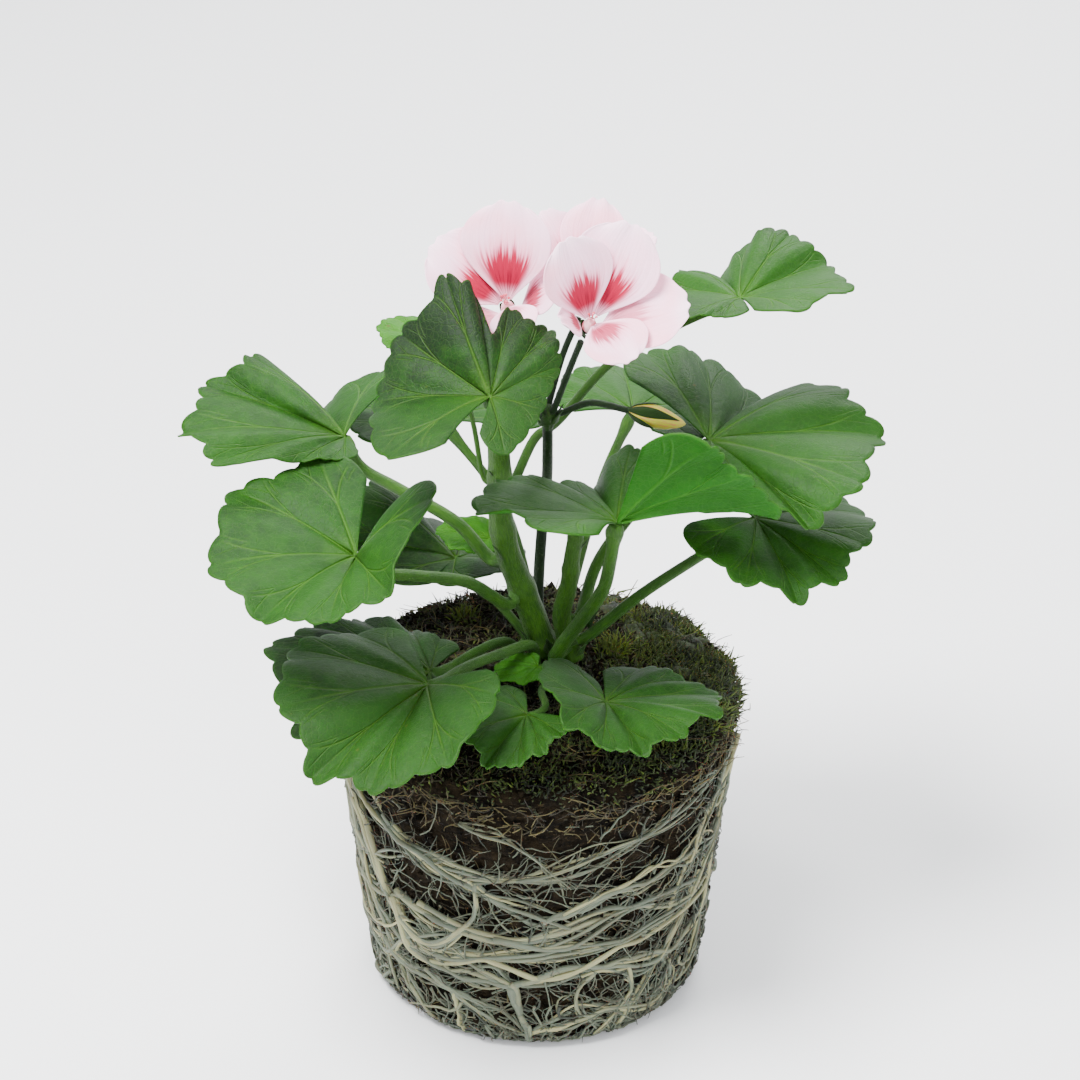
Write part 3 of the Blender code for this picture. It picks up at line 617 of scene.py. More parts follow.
def blade_rays(leaf, rng):
    """Margin vectors, lobe share (0 on a vein, 1 midway) and vein count along the margin."""
    veins = leaf["veins"]
    tips = np.array([length * direction(bearing, slope) for bearing, slope, length in veins])
    rays = smooth_path(tips, RAYS_PER_VEIN)
    lengths = smooth_path([[length] for _, _, length in veins], RAYS_PER_VEIN)
    count = np.arange(len(rays)) / RAYS_PER_VEIN
    between = np.sin(math.pi * (count % 1.0)) ** 2
    teeth = np.abs(np.sin(math.pi * TEETH_PER_LOBE * count + 0.35 + 0.5 * np.sin(count * 1.7))) ** 0.6
    dips = np.array([leaf.get("dips", {}).get(int(gap), 0.055) for gap in count])
    rays = unit(rays) * lengths
    start_axis = unit(np.cross(rays[0], rays[1]))
    end_axis = unit(np.cross(rays[-2], rays[-1]))
    first, last, first_count, last_count = [], [], [], []
    for k in range(BASAL_RAYS, 0, -1):
        share = k / BASAL_RAYS
        reach = 1 - (1 - BASAL_REACH) * share ** 2.2
        first.append(turn_about(rays[0], start_axis, -BASAL_TURN * share) * reach)
        first_count.append(-0.5 * share)
        last.append(turn_about(rays[-1], end_axis, BASAL_TURN * (1 - share + 1 / BASAL_RAYS))
                    * (1 - (1 - BASAL_REACH) * (1 - share + 1 / BASAL_RAYS) ** 2.2))
        last_count.append(count[-1] + 0.5 * (1 - share + 1 / BASAL_RAYS))
    rays = np.vstack([first, rays, last])
    zeros = np.zeros(BASAL_RAYS)
    between = np.concatenate([zeros, between, zeros])
    teeth = np.concatenate([np.full(BASAL_RAYS, 0.7), teeth, np.full(BASAL_RAYS, 0.7)])
    dips = np.concatenate([zeros, dips, zeros])
    count = np.concatenate([first_count, count, last_count])
    wobble = 1 + 0.02 * np.sin(count * 5.1 + rng.uniform(0, 6))
    reach = (1 - dips * between) * (0.950 + 0.055 * teeth) * wobble
    return rays, between, count, reach


def soften(vectors, rounds):
    for _ in range(rounds):
        before = np.vstack([vectors[:1], vectors[:-1]])
        after = np.vstack([vectors[1:], vectors[-1:]])
        vectors = unit(before + 2 * vectors + after)
    return vectors


def build_blade(leaf, rng, ruffle=1.0):
    """Dense blade sheet with its uv (vein count, share of the way out)."""
    centre = np.array(leaf["junction"], float)
    rays, between, count, reach = blade_rays(leaf, rng)
    facing = unit(np.cross(rays, np.gradient(rays, axis=0)))
    facing = soften(facing, 40)
    size = np.linalg.norm(rays, axis=1)
    crease = np.abs(np.sin(math.pi * count)) ** 0.9
    forks = np.abs(np.sin(math.pi * 2 * count)) ** 0.8
    phase = rng.uniform(0, 6, 4)
    points, uv = [centre], [(0.0, 0.0)]
    for k in range(1, BLADE_RINGS + 1):
        s = k / BLADE_RINGS
        rim = max(0.0, (s - 0.55) / 0.45)
        edge = 1 + (reach - 1) * s ** 3
        rise = size * (4 * ARCH * s * (1 - s) + PLEAT * s * between)
        rise += size * 0.013 * (crease - 0.5) * s ** 0.8
        rise += size * 0.006 * (forks - 0.5) * rim
        rise += ruffle * size * 0.016 * rim ** 1.5 * np.sin(count * 4.4 + phase[0])
        rise += ruffle * size * 0.010 * rim ** 2 * np.sin(count * 9.7 + phase[1] + s * 3)
        rise += size * 0.012 * np.sin(count * 2.3 + phase[2]) * np.sin(5 * s + phase[3])
        spots = centre + (s * edge)[:, None] * rays + rise[:, None] * facing
        points.extend(spots)
        uv.extend(zip(count, np.full(len(count), s)))
    columns = len(rays)
    faces = [(0, 1 + c, 2 + c) for c in range(columns - 1)]
    for a, b, c, d in grid_faces(BLADE_RINGS, columns):
        faces.append((a + 1, d + 1, c + 1, b + 1))
    return np.array(points), faces, np.array(uv)


def make_blade(name, node, leaf, finishes, thickness, shade, rng, slot):
    points, faces, uv = build_blade(leaf, rng)
    drift = np.array([noise.noise(Vector(p * 0.03)) for p in points])
    # shade value: the given per-leaf brightness (own tone and painted light) plus a random drift in tone
    values = shade + 0.25 * drift
    # painted shade: the listed lobes are darkened more towards the margin
    for vein, width, amount in leaf.get("painted_shade_lobes", ()):
        values = values - amount * uv[:, 1] * np.exp(-((uv[:, 0] - vein) / width) ** 2)
    values = np.clip(values, 0.0, 1.0)
    piece = make_mesh(name, points, faces, finishes, uv, {"shade": values})
    apply_modifier(piece, "SOLIDIFY", thickness=thickness * MM, offset=0.0, use_even_offset=False,
                   material_offset=1, material_offset_rim=0)
    piece.data.shade_smooth()
    settle(piece, node, slot)
    return piece


def tube(path, radii, sides, ridge=0.0):
    """Closed round skin along a path; uv runs once round and on by length."""
    p = np.array(path, float)
    along = unit(np.gradient(p, axis=0))
    side = unit(np.cross(along[0], (0.31, 0.95, 0.05)))
    length = np.concatenate([[0.0], np.cumsum(np.linalg.norm(np.diff(p, axis=0), axis=1))])
    angles = math.tau * np.arange(sides) / sides
    points, uv = [], []
    for k, centre in enumerate(p):
        side = unit(side - along[k] * np.dot(side, along[k]))
        other = np.cross(along[k], side)
        swell = radii[k] * (1 + ridge * np.sin(5 * angles))
        ring = centre + swell[:, None] * (np.cos(angles)[:, None] * side + np.sin(angles)[:, None] * other)
        points.extend(ring)
        uv.extend((abs(2 * n / sides - 1), length[k] / 10.0) for n in range(sides))
    faces = []
    for k in range(len(p) - 1):
        a, b = k * sides, (k + 1) * sides
        for n in range(sides):
            m = (n + 1) % sides
            faces.append((a + n, a + m, b + m, b + n))
    faces.append(tuple(range(sides - 1, -1, -1)))
    last = (len(p) - 1) * sides
    faces.append(tuple(range(last, last + sides)))
    return np.array(points), faces, np.array(uv)


def stem_radii(path, start, end, swellings, base=0.0):
    share = np.linspace(0, 1, len(path))
    radii = start + (end - start) * share
    for spot in swellings:
        radii = radii * (1 + 0.13 * np.exp(-((share - spot) / 0.035) ** 2))
    return radii * (1 + base * np.exp(-(share / 0.06) ** 2))


def rooted(path):
    """The path started a little earlier, so that it grows out of the nearest stem or out of the soil."""
    start = np.array(path[0], float)
    axes = np.vstack([smooth_path(STEMS[name][0], 16) for name in ("main_stem", "side_shoot")])
    away = np.linalg.norm(axes - start, axis=1)
    nearest = axes[np.argmin(away)]
    if away.min() < 10.0 and start[2] > 106.0:
        return [tuple(start + 0.7 * (nearest - start)), *path]
    return [tuple(start - (0.0, 0.0, 3.0)), *path]


def make_leaves():
    rng = np.random.default_rng(11)
    # leaves in shade take the darker blade finish, as painted shade
    painted_shade_leaves = {"left_low", "left_under", "right_low", "back_left_low", "front_low", "top_front"}
    # per-leaf brightness of the shade value: partly the leaf's own tone, partly painted light and shade for
    # how lit each leaf is
    leaf_tone_and_painted_light = {"top_front": 0.55, "left_upper": 0.60, "left_middle": 0.55, "left_low": 0.80, "left_under": 0.5,
              "front_low": 0.95, "right_low": 0.70, "front_right": 0.85, "right_upper": 0.75,
              "right_lower": 0.75, "right_top": 0.85, "back_right": 0.95}
    for name, leaf in LEAVES.items():
        top = FINISHES["blade_painted_shade"] if name in painted_shade_leaves else FINISHES["blade"]
        make_blade(f"blade_{name}", f"leaf_{name}", leaf, [top, FINISHES["blade_under"]], 0.5,
                   leaf_tone_and_painted_light.get(name, 0.5), rng, "leaf")
        radius = leaf["stalk_radius"]
        path = smooth_path(rooted(leaf["stalk"]), 12)
        radii = stem_radii(path, radius * 1.15, radius * 0.9, (), base=0.25)
        radii = radii * (1 + 0.5 * np.exp(-((np.linspace(0, 1, len(path)) - 1) / 0.05) ** 2))
        reach_up = np.array(leaf["junction"], float) - np.array(leaf["stalk"][-1])
        path = np.vstack([path, path[-1] + reach_up * 0.85])
        radii = np.append(radii, radii[-1] * 0.7)
        points, faces, uv = tube(path, radii, 14, ridge=0.03)
        piece = make_mesh(f"leafstalk_{name}", points, faces, [FINISHES["stalk"]], uv)
        settle(piece, f"stalk_{name}", "stem")
    for name, leaf in YOUNG_LEAVES.items():
        make_blade(f"young_blade_{name}", f"young_leaf_{name}", leaf, [FINISHES["young"], FINISHES["young"]],
                   0.45, 0.6, rng, "young_leaf")
        path = smooth_path(rooted(leaf["stalk"]), 10)
        points, faces, uv = tube(path, np.linspace(0.9, 0.7, len(path)), 10)
        piece = make_mesh(f"young_stalk_{name}", points, faces, [FINISHES["stalk"]], uv)
        settle(piece, None, "young_leaf")


# ---------------------------------------------------------------- stems

def make_stems():
    swellings = {"main_stem": (0.05, 0.32, 0.58, 0.80), "side_shoot": (0.1, 0.62, 0.95),
                 "flower_stalk": (0.03,)}
    for name, (path, start, end) in STEMS.items():
        dark = "stalk" in name or "pedicel" in name
        if "pedicel" in name:
            start, end = 1.0, 0.95
            foot = np.array(path[0]) + 0.45 * (np.array((0.8, 0.3, 186.0)) - path[0])
            head = np.array(path[-1]) + 1.2 * unit(np.array(path[-1], float) - path[-2])
            path = [tuple(foot), *path, tuple(head)]
        fine = smooth_path(path, 16)
        radii = stem_radii(fine, start, end, swellings.get(name, ()), base=0.12 if start > 2 else 0.0)
        points, faces, uv = tube(fine, radii, 24 if start > 1 else 12, ridge=0.035 if start > 2 else 0.02)
        piece = make_mesh(f"{name}_hairy", points, faces,
                          [FINISHES["flower_stalk"] if dark else FINISHES["stem"]], uv)
        settle(piece, name, "flower_stalk" if dark else "stem")


def make_umbel():
    """Swollen joint where the flower pedicels part; the pointed bracts round it are made with the stipules.
    """
    outline = smooth_path([(1.2, 181.6), (1.7, 183.0), (2.3, 184.6), (2.7, 186.0), (2.4, 187.6), (1.4, 189.0),
                           (0.3, 189.6)], 3)
    sides, points, uv = 36, [], []
    for row, (radius, height) in enumerate(outline):
        for k in range(sides):
            a = math.tau * k / sides
            r = radius * (1 + 0.10 * math.sin(3 * a + 1.0) + 0.05 * math.sin(7 * a))
            points.append((0.8 + r * math.cos(a), 0.3 + r * math.sin(a), height))
            uv.append((abs(2 * k / sides - 1), row / 8))
    faces = grid_faces(len(outline), sides, wrap=True)
    faces.append(tuple(range(sides - 1, -1, -1)))
    last = (len(outline) - 1) * sides
    faces.append(tuple(range(last, last + sides)))
    piece = make_mesh("umbel_joint", points, faces, [FINISHES["calyx"]], uv)
    settle(piece, None, "flower_stalk")


def stem_hairs():
    """Short pale hairs standing off the stems and stalks."""
    rng = np.random.default_rng(3)
    routes = [(smooth_path(path, 16), start, end, 26 if start > 1 else 18)
              for path, start, end in STEMS.values()]
    routes += [(smooth_path(leaf["stalk"], 12), leaf["stalk_radius"] * 1.15, leaf["stalk_radius"] * 0.9, 18)
               for leaf in LEAVES.values()]
    points, faces = [], []
    for path, start, end, density in routes:
        along = unit(np.gradient(path, axis=0))
        length = np.linalg.norm(np.diff(path, axis=0), axis=1).sum()
        for _ in range(int(length * density / 10)):
            k = rng.integers(0, len(path))
            radius = start + (end - start) * k / (len(path) - 1)
            out = unit(np.cross(along[k], rng.normal(size=3)))
            root = path[k] + out * radius * 0.96 + along[k] * rng.uniform(-0.6, 0.6)
            tip = root + out * rng.uniform(0.5, 1.1) + along[k] * rng.uniform(-0.2, 0.4)
            spread = np.cross(out, along[k])
            base = len(points)
            points += [root + spread * 0.035, root - spread * 0.02 + along[k] * 0.03,
                       root - spread * 0.02 - along[k] * 0.03, tip]
            faces += [(base, base + 1, base + 3), (base + 1, base + 2, base + 3), (base + 2, base, base + 3),
                      (base, base + 2, base + 1)]
    f = Finish("pale_stem_hair", roughness=0.5)
    f.colour(f.mix(f.noise(300.0, 1.0), (0.07, 0.14, 0.04), (0.20, 0.28, 0.12)))
    piece = make_mesh("stem_hairs", points, faces, [f.material])
    settle(piece, None, "stem")


def make_stipules():
    """Papery pointed scales round the crown and at the joints of the stems."""
    spots = [((2, 3, 106), 250, 9), ((-4, 4, 108), 190, 8), ((10, 1, 107), 330, 8), ((-2, 11, 107), 120, 7),
             ((7, -1, 111), 285, 9), ((-8, 3, 121), 215, 8), ((-12, 1.5, 139), 200, 6),
             ((9, 0.5, 141), 340, 7),
             ((-14, -1, 166), 230, 5), ((12, 6, 112), 20, 8), ((0.3, -1.6, 184.4), 250, 6),
             ((2.2, -0.8, 184.4), 320, 6),
             ((2.4, 1, 184.4), 30, 5), ((-0.9, 1.0, 184.4), 160, 5.5), ((-0.6, -0.6, 183.6), 205, 5),
             ((0.9, 1.8, 184.4), 95, 5)]
    for number, (spot, bearing, length) in enumerate(spots):
        out = direction(bearing, 0)
        side = np.cross((0, 0, 1), out)
        rows, columns = 9, 7
        points, uv = [], []
        for r in range(rows):
            t = r / (rows - 1)
            outward = out * (1.2 + length * 0.42 * t ** 1.6)
            middle = np.array(spot) + outward + np.array([0, 0, length * 0.85 * t])
            width = length * 0.32 * (1 - t) ** 0.7 * (0.55 + 0.45 * math.sin(math.pi * min(1, t + 0.35)))
            for c in range(columns):
                w = 2 * c / (columns - 1) - 1
                points.append(middle + side * width * w - out * 0.35 * width * w * w)
                uv.append((c / (columns - 1), t))
        piece = make_mesh(f"stipule_{number + 1}", points, grid_faces(rows, columns), [FINISHES["calyx"]], uv)
        apply_modifier(piece, "SOLIDIFY", thickness=0.3 * MM, offset=0.0)
        apply_modifier(piece, "SUBSURF", levels=1, render_levels=1)
        settle(piece, None, "calyx")


# ---------------------------------------------------------------- flowers

def frame_of(facing):
    axis = unit(np.array(facing, float))
    right = unit(np.array([1.0, 0.0, 0.0]) - axis * axis[0])
    return axis, right, np.cross(axis, right)


def build_petal(throat, facing, shape, rng):
    """Petal sheet: narrow claw, broad notched tip, ruffled rim, shallow channels along its veins."""
    bearing, length, width, first_open, last_open, lift = shape
    axis, right, up = frame_of(facing)
    b = math.radians(bearing)
    outward = math.cos(b) * right + math.sin(b) * up
    across = np.cross(axis, outward)
    rows, columns = 34, 29
    middle_open = math.radians(0.5 * (first_open + last_open))
    behind = math.cos(middle_open) * outward - math.sin(middle_open) * axis
    spot = np.array(throat, float) + 1.4 * outward + lift * behind
    middle, normal = [], []
    for k in range(rows):
        opening = math.radians(first_open + (last_open - first_open) * k / (rows - 1))
        heading = math.cos(opening) * axis + math.sin(opening) * outward
        if k:
            spot = spot + heading * length / (rows - 1)
        middle.append(spot)
        normal.append(math.sin(opening) * axis - math.cos(opening) * outward)
    phase = rng.uniform(0, 6, 3)
    points, uv = [], []
    for k in range(rows):
        u = k / (rows - 1)
        half = 0.5 * width * (0.10 + 0.90 * math.sin(0.5 * math.pi * min(1.0, u / 0.62)) ** 1.2)
        if u > 0.62:
            half = 0.5 * width * math.sqrt(max(0.0, 1 - ((u - 0.62) / 0.44) ** 2))
        for c in range(columns):
            v = 2 * c / (columns - 1) - 1
            trim = 1 - 0.10 * abs(v) ** 2.5 * u - 0.030 * u ** 6 * math.cos(5.0 * v + phase[2]) ** 2
            lift_here = 0.10 * half * v * v
            lift_here += 0.6 * u ** 2 * math.sin(3.4 * v + phase[0] + 1.5 * u) * abs(v) ** 0.6
            lift_here += 0.35 * u ** 3 * math.sin(7.3 * v + phase[1])
            lift_here += 0.10 * math.cos(v * 22) * u * (1 - u)
            place = middle[k] * trim + middle[0] * (1 - trim)
            points.append(place + half * v * across + lift_here * normal[k])
            uv.append((0.5 + 0.5 * v, u))
    return np.array(points), grid_faces(rows, columns), np.array(uv)


def make_flowers():
    rng = np.random.default_rng(29)
    strengths = {"left": (1.0, 1.0, 0.9, 0.5, 0.5), "right": (1.0, 1.0, 0.55, 0.8, 0.9),
                 "back": (1.0, 0.9, 0.4, 0.4, 0.4)}
    for name, flower in FLOWERS.items():
        for number, shape in enumerate(flower["petals"], 1):
            points, faces, uv = build_petal(flower["throat"], flower["facing"], shape, rng)
            faces = [tuple(reversed(face)) for face in faces]
            values = np.full(len(points), strengths[name][number - 1])
            piece = make_mesh(f"blossom_{name}_{number}", points, faces,
                              [FINISHES["petal"], FINISHES["petal_back"]], uv, {"shade": values})
            apply_modifier(piece, "SOLIDIFY", thickness=0.35 * MM, offset=0.0, material_offset=1,
                           material_offset_rim=0)
            apply_modifier(piece, "SUBSURF", levels=1, render_levels=1)
            settle(piece, f"petal_{name}_{number}", "petal")
        make_calyx(name, flower)
        make_stamens(name, flower)


def about_axis(points, spot, facing):
    axis, right, up = frame_of(facing)
    p = np.array(points, float)
    return np.array(spot) + p[:, :1] * right + p[:, 1:2] * up + p[:, 2:] * axis


def sepal_ring(profile, count, sides, spread):
    """Skin turned about +Z whose upper part parts into pointed sepals."""
    points, uv = [], []
    for row, (radius, height) in enumerate(profile):
        t = row / (len(profile) - 1)
        for k in range(sides):
            a = math.tau * k / sides
            lobe = abs(math.cos(0.5 * count * a))
            r = radius * (1 + 0.06 * lobe) + spread * t * t * lobe
            points.append((r * math.cos(a), r * math.sin(a), height + 2.4 * t * t * (lobe - 0.5)))
            uv.append((lobe, t))
    return points, grid_faces(len(profile), sides, wrap=True), uv


def make_calyx(name, flower):
    profile = [(0.85, -9.6), (1.3, -8.6), (1.75, -7.3), (2.05, -6.0), (2.2, -4.8), (2.35, -3.6)]
    points, faces, uv = sepal_ring(profile, 5, 40, 0.5)
    points = about_axis(points, flower["throat"], flower["facing"])
    piece = make_mesh(f"sepals_{name}", points, faces, [FINISHES["calyx"]], uv)
    apply_modifier(piece, "SOLIDIFY", thickness=0.35 * MM, offset=-1.0)
    apply_modifier(piece, "SUBSURF", levels=1, render_levels=1)
    settle(piece, f"calyx_{name}", "calyx")


def make_stamens(name, flower):
    """Five short filaments round the style, deep in the throat."""
    f = Finish(f"stamens_{name}", roughness=0.4)
    f.colour(f.mix(f.noise(200.0, 1.0).step(0.4, 0.6), (0.85, 0.45, 0.50), (0.62, 0.06, 0.10)))
    points, faces, _ = tube([(0, 0, -4.2), (0, 0, -3.0), (0, 0, -1.2), (0, 0, 0.6)], (1.6, 2.1, 1.7, 0.4), 16)
    points = list(about_axis(points, flower["throat"], flower["facing"]))
    for k in range(6):
        a = math.tau * k / 5
        lean = 0.0 if k == 5 else 1.3
        height = 5.2 if k == 5 else 3.6
        path = [(0.25 * math.cos(a), 0.25 * math.sin(a), -1.0),
                (0.5 * lean * math.cos(a), 0.5 * lean * math.sin(a), 0.5 * height),
                (lean * math.cos(a), lean * math.sin(a), height)]
        path = smooth_path(path, 5)
        radii = np.full(len(path), 0.16)
        radii[-3:] = (0.22, 0.40, 0.16)
        p, q, _ = tube(path, radii, 8)
        faces += [tuple(i + len(points) for i in face) for face in q]
        points += list(about_axis(p, flower["throat"], flower["facing"]))
    piece = make_mesh(f"stamens_{name}", points, faces, [f.material])
    settle(piece, None, "petal")


def make_bud():
    """Closed bud: folded petals show between five green sepals."""
    spot, heading = (22.8, -4.8, 190.4), (0.96, -0.16, -0.18)
    outline = [(0.3, 0.6), (1.6, 2.0), (2.7, 4.2), (3.25, 7.0), (3.2, 9.5), (2.7, 12.0), (1.9, 14.4),
               (1.0, 16.3), (0.15, 17.3)]
    outline = smooth_path(outline, 3)
    sides, points, uv = 32, [], []
    for row, (radius, height) in enumerate(outline):
        t = row / (len(outline) - 1)
        for k in range(sides):
            a = math.tau * k / sides
            r = radius * (1 + 0.07 * math.sin(3 * a + 5 * t))
            points.append((r * math.cos(a), r * math.sin(a), height))
            uv.append((abs(2 * k / sides - 1), t))
    faces = grid_faces(len(outline), sides, wrap=True)
    faces.append(tuple(range(sides - 1, -1, -1)))
    last = (len(outline) - 1) * sides
    faces.append(tuple(range(last, last + sides)))
    piece = make_mesh("bud_folded_petals", about_axis(points, spot, heading), faces, [FINISHES["bud"]], uv)
    settle(piece, "flower_bud", "bud")
    for k in range(5):
        a0 = math.tau * (k + 0.25) / 5
        rows, columns = 12, 9
        points, uv = [], []
        for r in range(rows):
            t = r / (rows - 1)
            height = 0.2 + (15.4 if k == 1 else 8.6) * t
            radius = np.interp(height, outline[:, 1], outline[:, 0]) + 0.30 + 0.25 * t ** 3
            width = 0.56 * math.sin(math.pi * min(1.0, 0.30 + 0.70 * t)) ** 0.8 * (1 - 0.25 * t)
            for c in range(columns):
                w = 2 * c / (columns - 1) - 1
                a = a0 + width * w
                span = radius - 0.08 * w * w
                points.append((span * math.cos(a), span * math.sin(a), height))
                uv.append((abs(w), t))
        sepal = make_mesh(f"bud_sepal_{k + 1}", about_axis(points, spot, heading), grid_faces(rows, columns),
                          [FINISHES["calyx"]], uv)
        apply_modifier(sepal, "SOLIDIFY", thickness=0.3 * MM, offset=0.0)
        apply_modifier(sepal, "SUBSURF", levels=1, render_levels=1)
        settle(sepal, None, "bud")


# ---------------------------------------------------------------- root ball

PLUG_BOTTOM_RADIUS = 48.5
PLUG_TOP_RADIUS = 60.0
PLUG_HEIGHT = 97.0
PLUG_DOME = 5.0
TOP_ROUND = 5.0


def plug_radius(z):
    radius = PLUG_BOTTOM_RADIUS + (PLUG_TOP_RADIUS - PLUG_BOTTOM_RADIUS) * z / PLUG_HEIGHT
    if z < 6.0:
        radius -= 6.0 - math.sqrt(max(0.0, 36.0 - (6.0 - z) ** 2))
    return radius


def rough_soil(p, strength=1.0):
    """How far the peat stands out of the smooth plug at a point."""
    v = Vector(p)
    big = noise.fractal(v * 0.07, 1.0, 2.0, 4)
    small = noise.fractal(v * 0.30 + Vector((7, 3, 1)), 0.7, 2.1, 4)
    return strength * (1.1 * big + 1.2 * small)


def make_soil():
    profile = [(0.5, 0.0, 0, -1), (12, 0.0, 0, -1), (24, 0.0, 0, -1), (34, 0.0, 0, -1), (42.0, 0.0, 0, -1)]
    for k in range(1, 4):
        a = math.radians(30 * k)
        profile.append((42.5 + 6 * math.sin(a), 6 * (1 - math.cos(a)), math.sin(a), -math.cos(a)))
    for z in np.linspace(8.0, PLUG_HEIGHT - TOP_ROUND, 84):
        profile.append((plug_radius(z), float(z), 1.0, 0.0))
    corner = PLUG_TOP_RADIUS - TOP_ROUND
    for k in range(1, 8):
        a = math.radians(12 * k)
        profile.append((corner + TOP_ROUND * math.cos(a), PLUG_HEIGHT - TOP_ROUND * (1 - math.sin(a)),
                        math.cos(a), math.sin(a)))
    for r in np.linspace(corner - 0.6, 1.2, 48):
        profile.append((float(r), PLUG_HEIGHT + PLUG_DOME * (1 - (r / corner) ** 2), 0.15, 1.0))
    sides = 340
    points = []
    for r, z, nr, nz in profile:
        flat = 0.0 if z < 0.01 else min(1.0, z / 5.0)
        for k in range(sides):
            a = math.tau * k / sides
            p = (r * math.cos(a), r * math.sin(a), z)
            out = rough_soil(p, flat) - 0.5 * flat
            if nz > 0.5 and r < 52:
                out -= 0.5
            points.append((p[0] + out * nr * math.cos(a), p[1] + out * nr * math.sin(a), z + out * nz))
    faces = grid_faces(len(profile), sides, wrap=True)
    faces.append(tuple(range(sides - 1, -1, -1)))
    last = (len(profile) - 1) * sides
    faces.append(tuple(range(last, last + sides)))
    piece = make_mesh("peat_root_ball", points, faces, [FINISHES["peat"]])
    settle(piece, "soil_plug", "peat")


class Bundle:
    """Collects many tubes into one mesh."""

    def __init__(self):
        self.points, self.faces, self.uv, self.shade = [], [], [], []

    def add(self, path, radii, sides, shade):
        points, faces, uv = tube(path, radii, sides)
        base = len(self.points)
        self.points.extend(points)
        self.faces.extend(tuple(i + base for i in face) for face in faces)
        self.uv.extend(uv)
        self.shade.extend([shade] * len(points))

    def piece(self, name, finish, node, slot):
        made = make_mesh(name, self.points, self.faces, [finish], self.uv, {"shade": self.shade})
        settle(made, node, slot)
        return made


def on_plug(bearing, z, stand_off):
    a = math.radians(bearing)
    r = plug_radius(z) + stand_off
    return (r * math.cos(a), r * math.sin(a), z)


def flow(bundle, fine, rng, route, strands, thick, spread):
    """A root that runs along a route of (bearing, height) with strands that part and join again."""
    line = smooth_path(route, 24)
    run = np.hypot(np.diff(line[:, 0]) * 0.95, np.diff(line[:, 1]))
    along = np.concatenate([[0.0], np.cumsum(run)])
    steps = max(12, int(along[-1] / ROUTE_STEP))
    stops = np.linspace(0, along[-1], steps)
    line = np.column_stack([np.interp(stops, along, line[:, 0]), np.interp(stops, along, line[:, 1])])
    knots = rng.integers(2, 4)
    for number in range(strands):
        lead = number < 2
        first = 0 if lead else int(steps * rng.uniform(0.0, 0.35))
        final = steps if lead else int(steps * rng.uniform(0.6, 1.0))
        if final - first < 7:
            continue
        own, sway = rng.uniform(0, 60), rng.normal(0, 1.0)
        radius = thick * (rng.uniform(0.75, 1.0) if lead else rng.uniform(0.28, 0.75))
        out = rng.uniform(0.2, 1.5)
        path = []
        for k in range(first, final):
            t = k / (steps - 1)
            part = spread * (0.15 + abs(math.sin(math.pi * knots * t)))
            off = part * (0.9 * noise.noise(Vector((own, t * 3.0, 0.0))) * 2 + 0.5 * sway)
            off += 0.9 * noise.noise(Vector((own, t * 11.0, 5.0)))
            bearing = line[k][0] + off * 0.25
            z = min(91.0, max(1.2 + radius, line[k][1] + off))
            path.append(on_plug(bearing, z, out + 1.0 * noise.noise(Vector((own, t * 7.0, 9.0)))))
        path = smooth_path(path, 2)
        taper = np.linspace(1.0, 0.5, len(path)) * (1 + 0.12 * np.sin(np.arange(len(path)) * 0.9 + own))
        shade = rng.uniform(0.35, 1.0)
        bundle.add(path, radius * taper, 7, shade)
        for k in range(first + 1, final - 2, 2):
            if rng.random() < 0.62:
                heading = math.atan2(line[k + 1][1] - line[k][1], (line[k + 1][0] - line[k][0]) * 0.95)
                heading += rng.choice((-1, 1)) * rng.uniform(0.35, 1.15)
                fine_root(rng, line[k][0] + rng.normal(0, 1.5), line[k][1] + rng.normal(0, 1.2),
                          rng.uniform(5, 17), rng.uniform(0.16, 0.38), fine, heading, 0.13)


def fine_root(rng, bearing, z, length, radius, bundle, pitch, curl):
    step = 2.0
    path, heading = [], pitch
    out = rng.uniform(0.1, 1.5)
    bend = rng.normal(0, curl)
    for k in range(int(length / step) + 2):
        path.append(on_plug(bearing, z, out + 0.4 * math.sin(0.7 * k + bearing)))
        bend = 0.8 * bend + rng.normal(0, curl)
        heading += bend
        z += step * math.sin(heading)
        bearing += math.degrees(step * math.cos(heading) / plug_radius(max(z, 1.0)))
        if z < 1.2 or z > 91.0:
            z = min(91.0, max(1.2, z))
            heading = -heading * 0.5
    radii = radius * np.linspace(1.0, 0.4, len(path))
    bundle.add(path, radii, 5, rng.uniform(0.0, 0.75) * min(1.0, 0.35 + radius * 1.6))


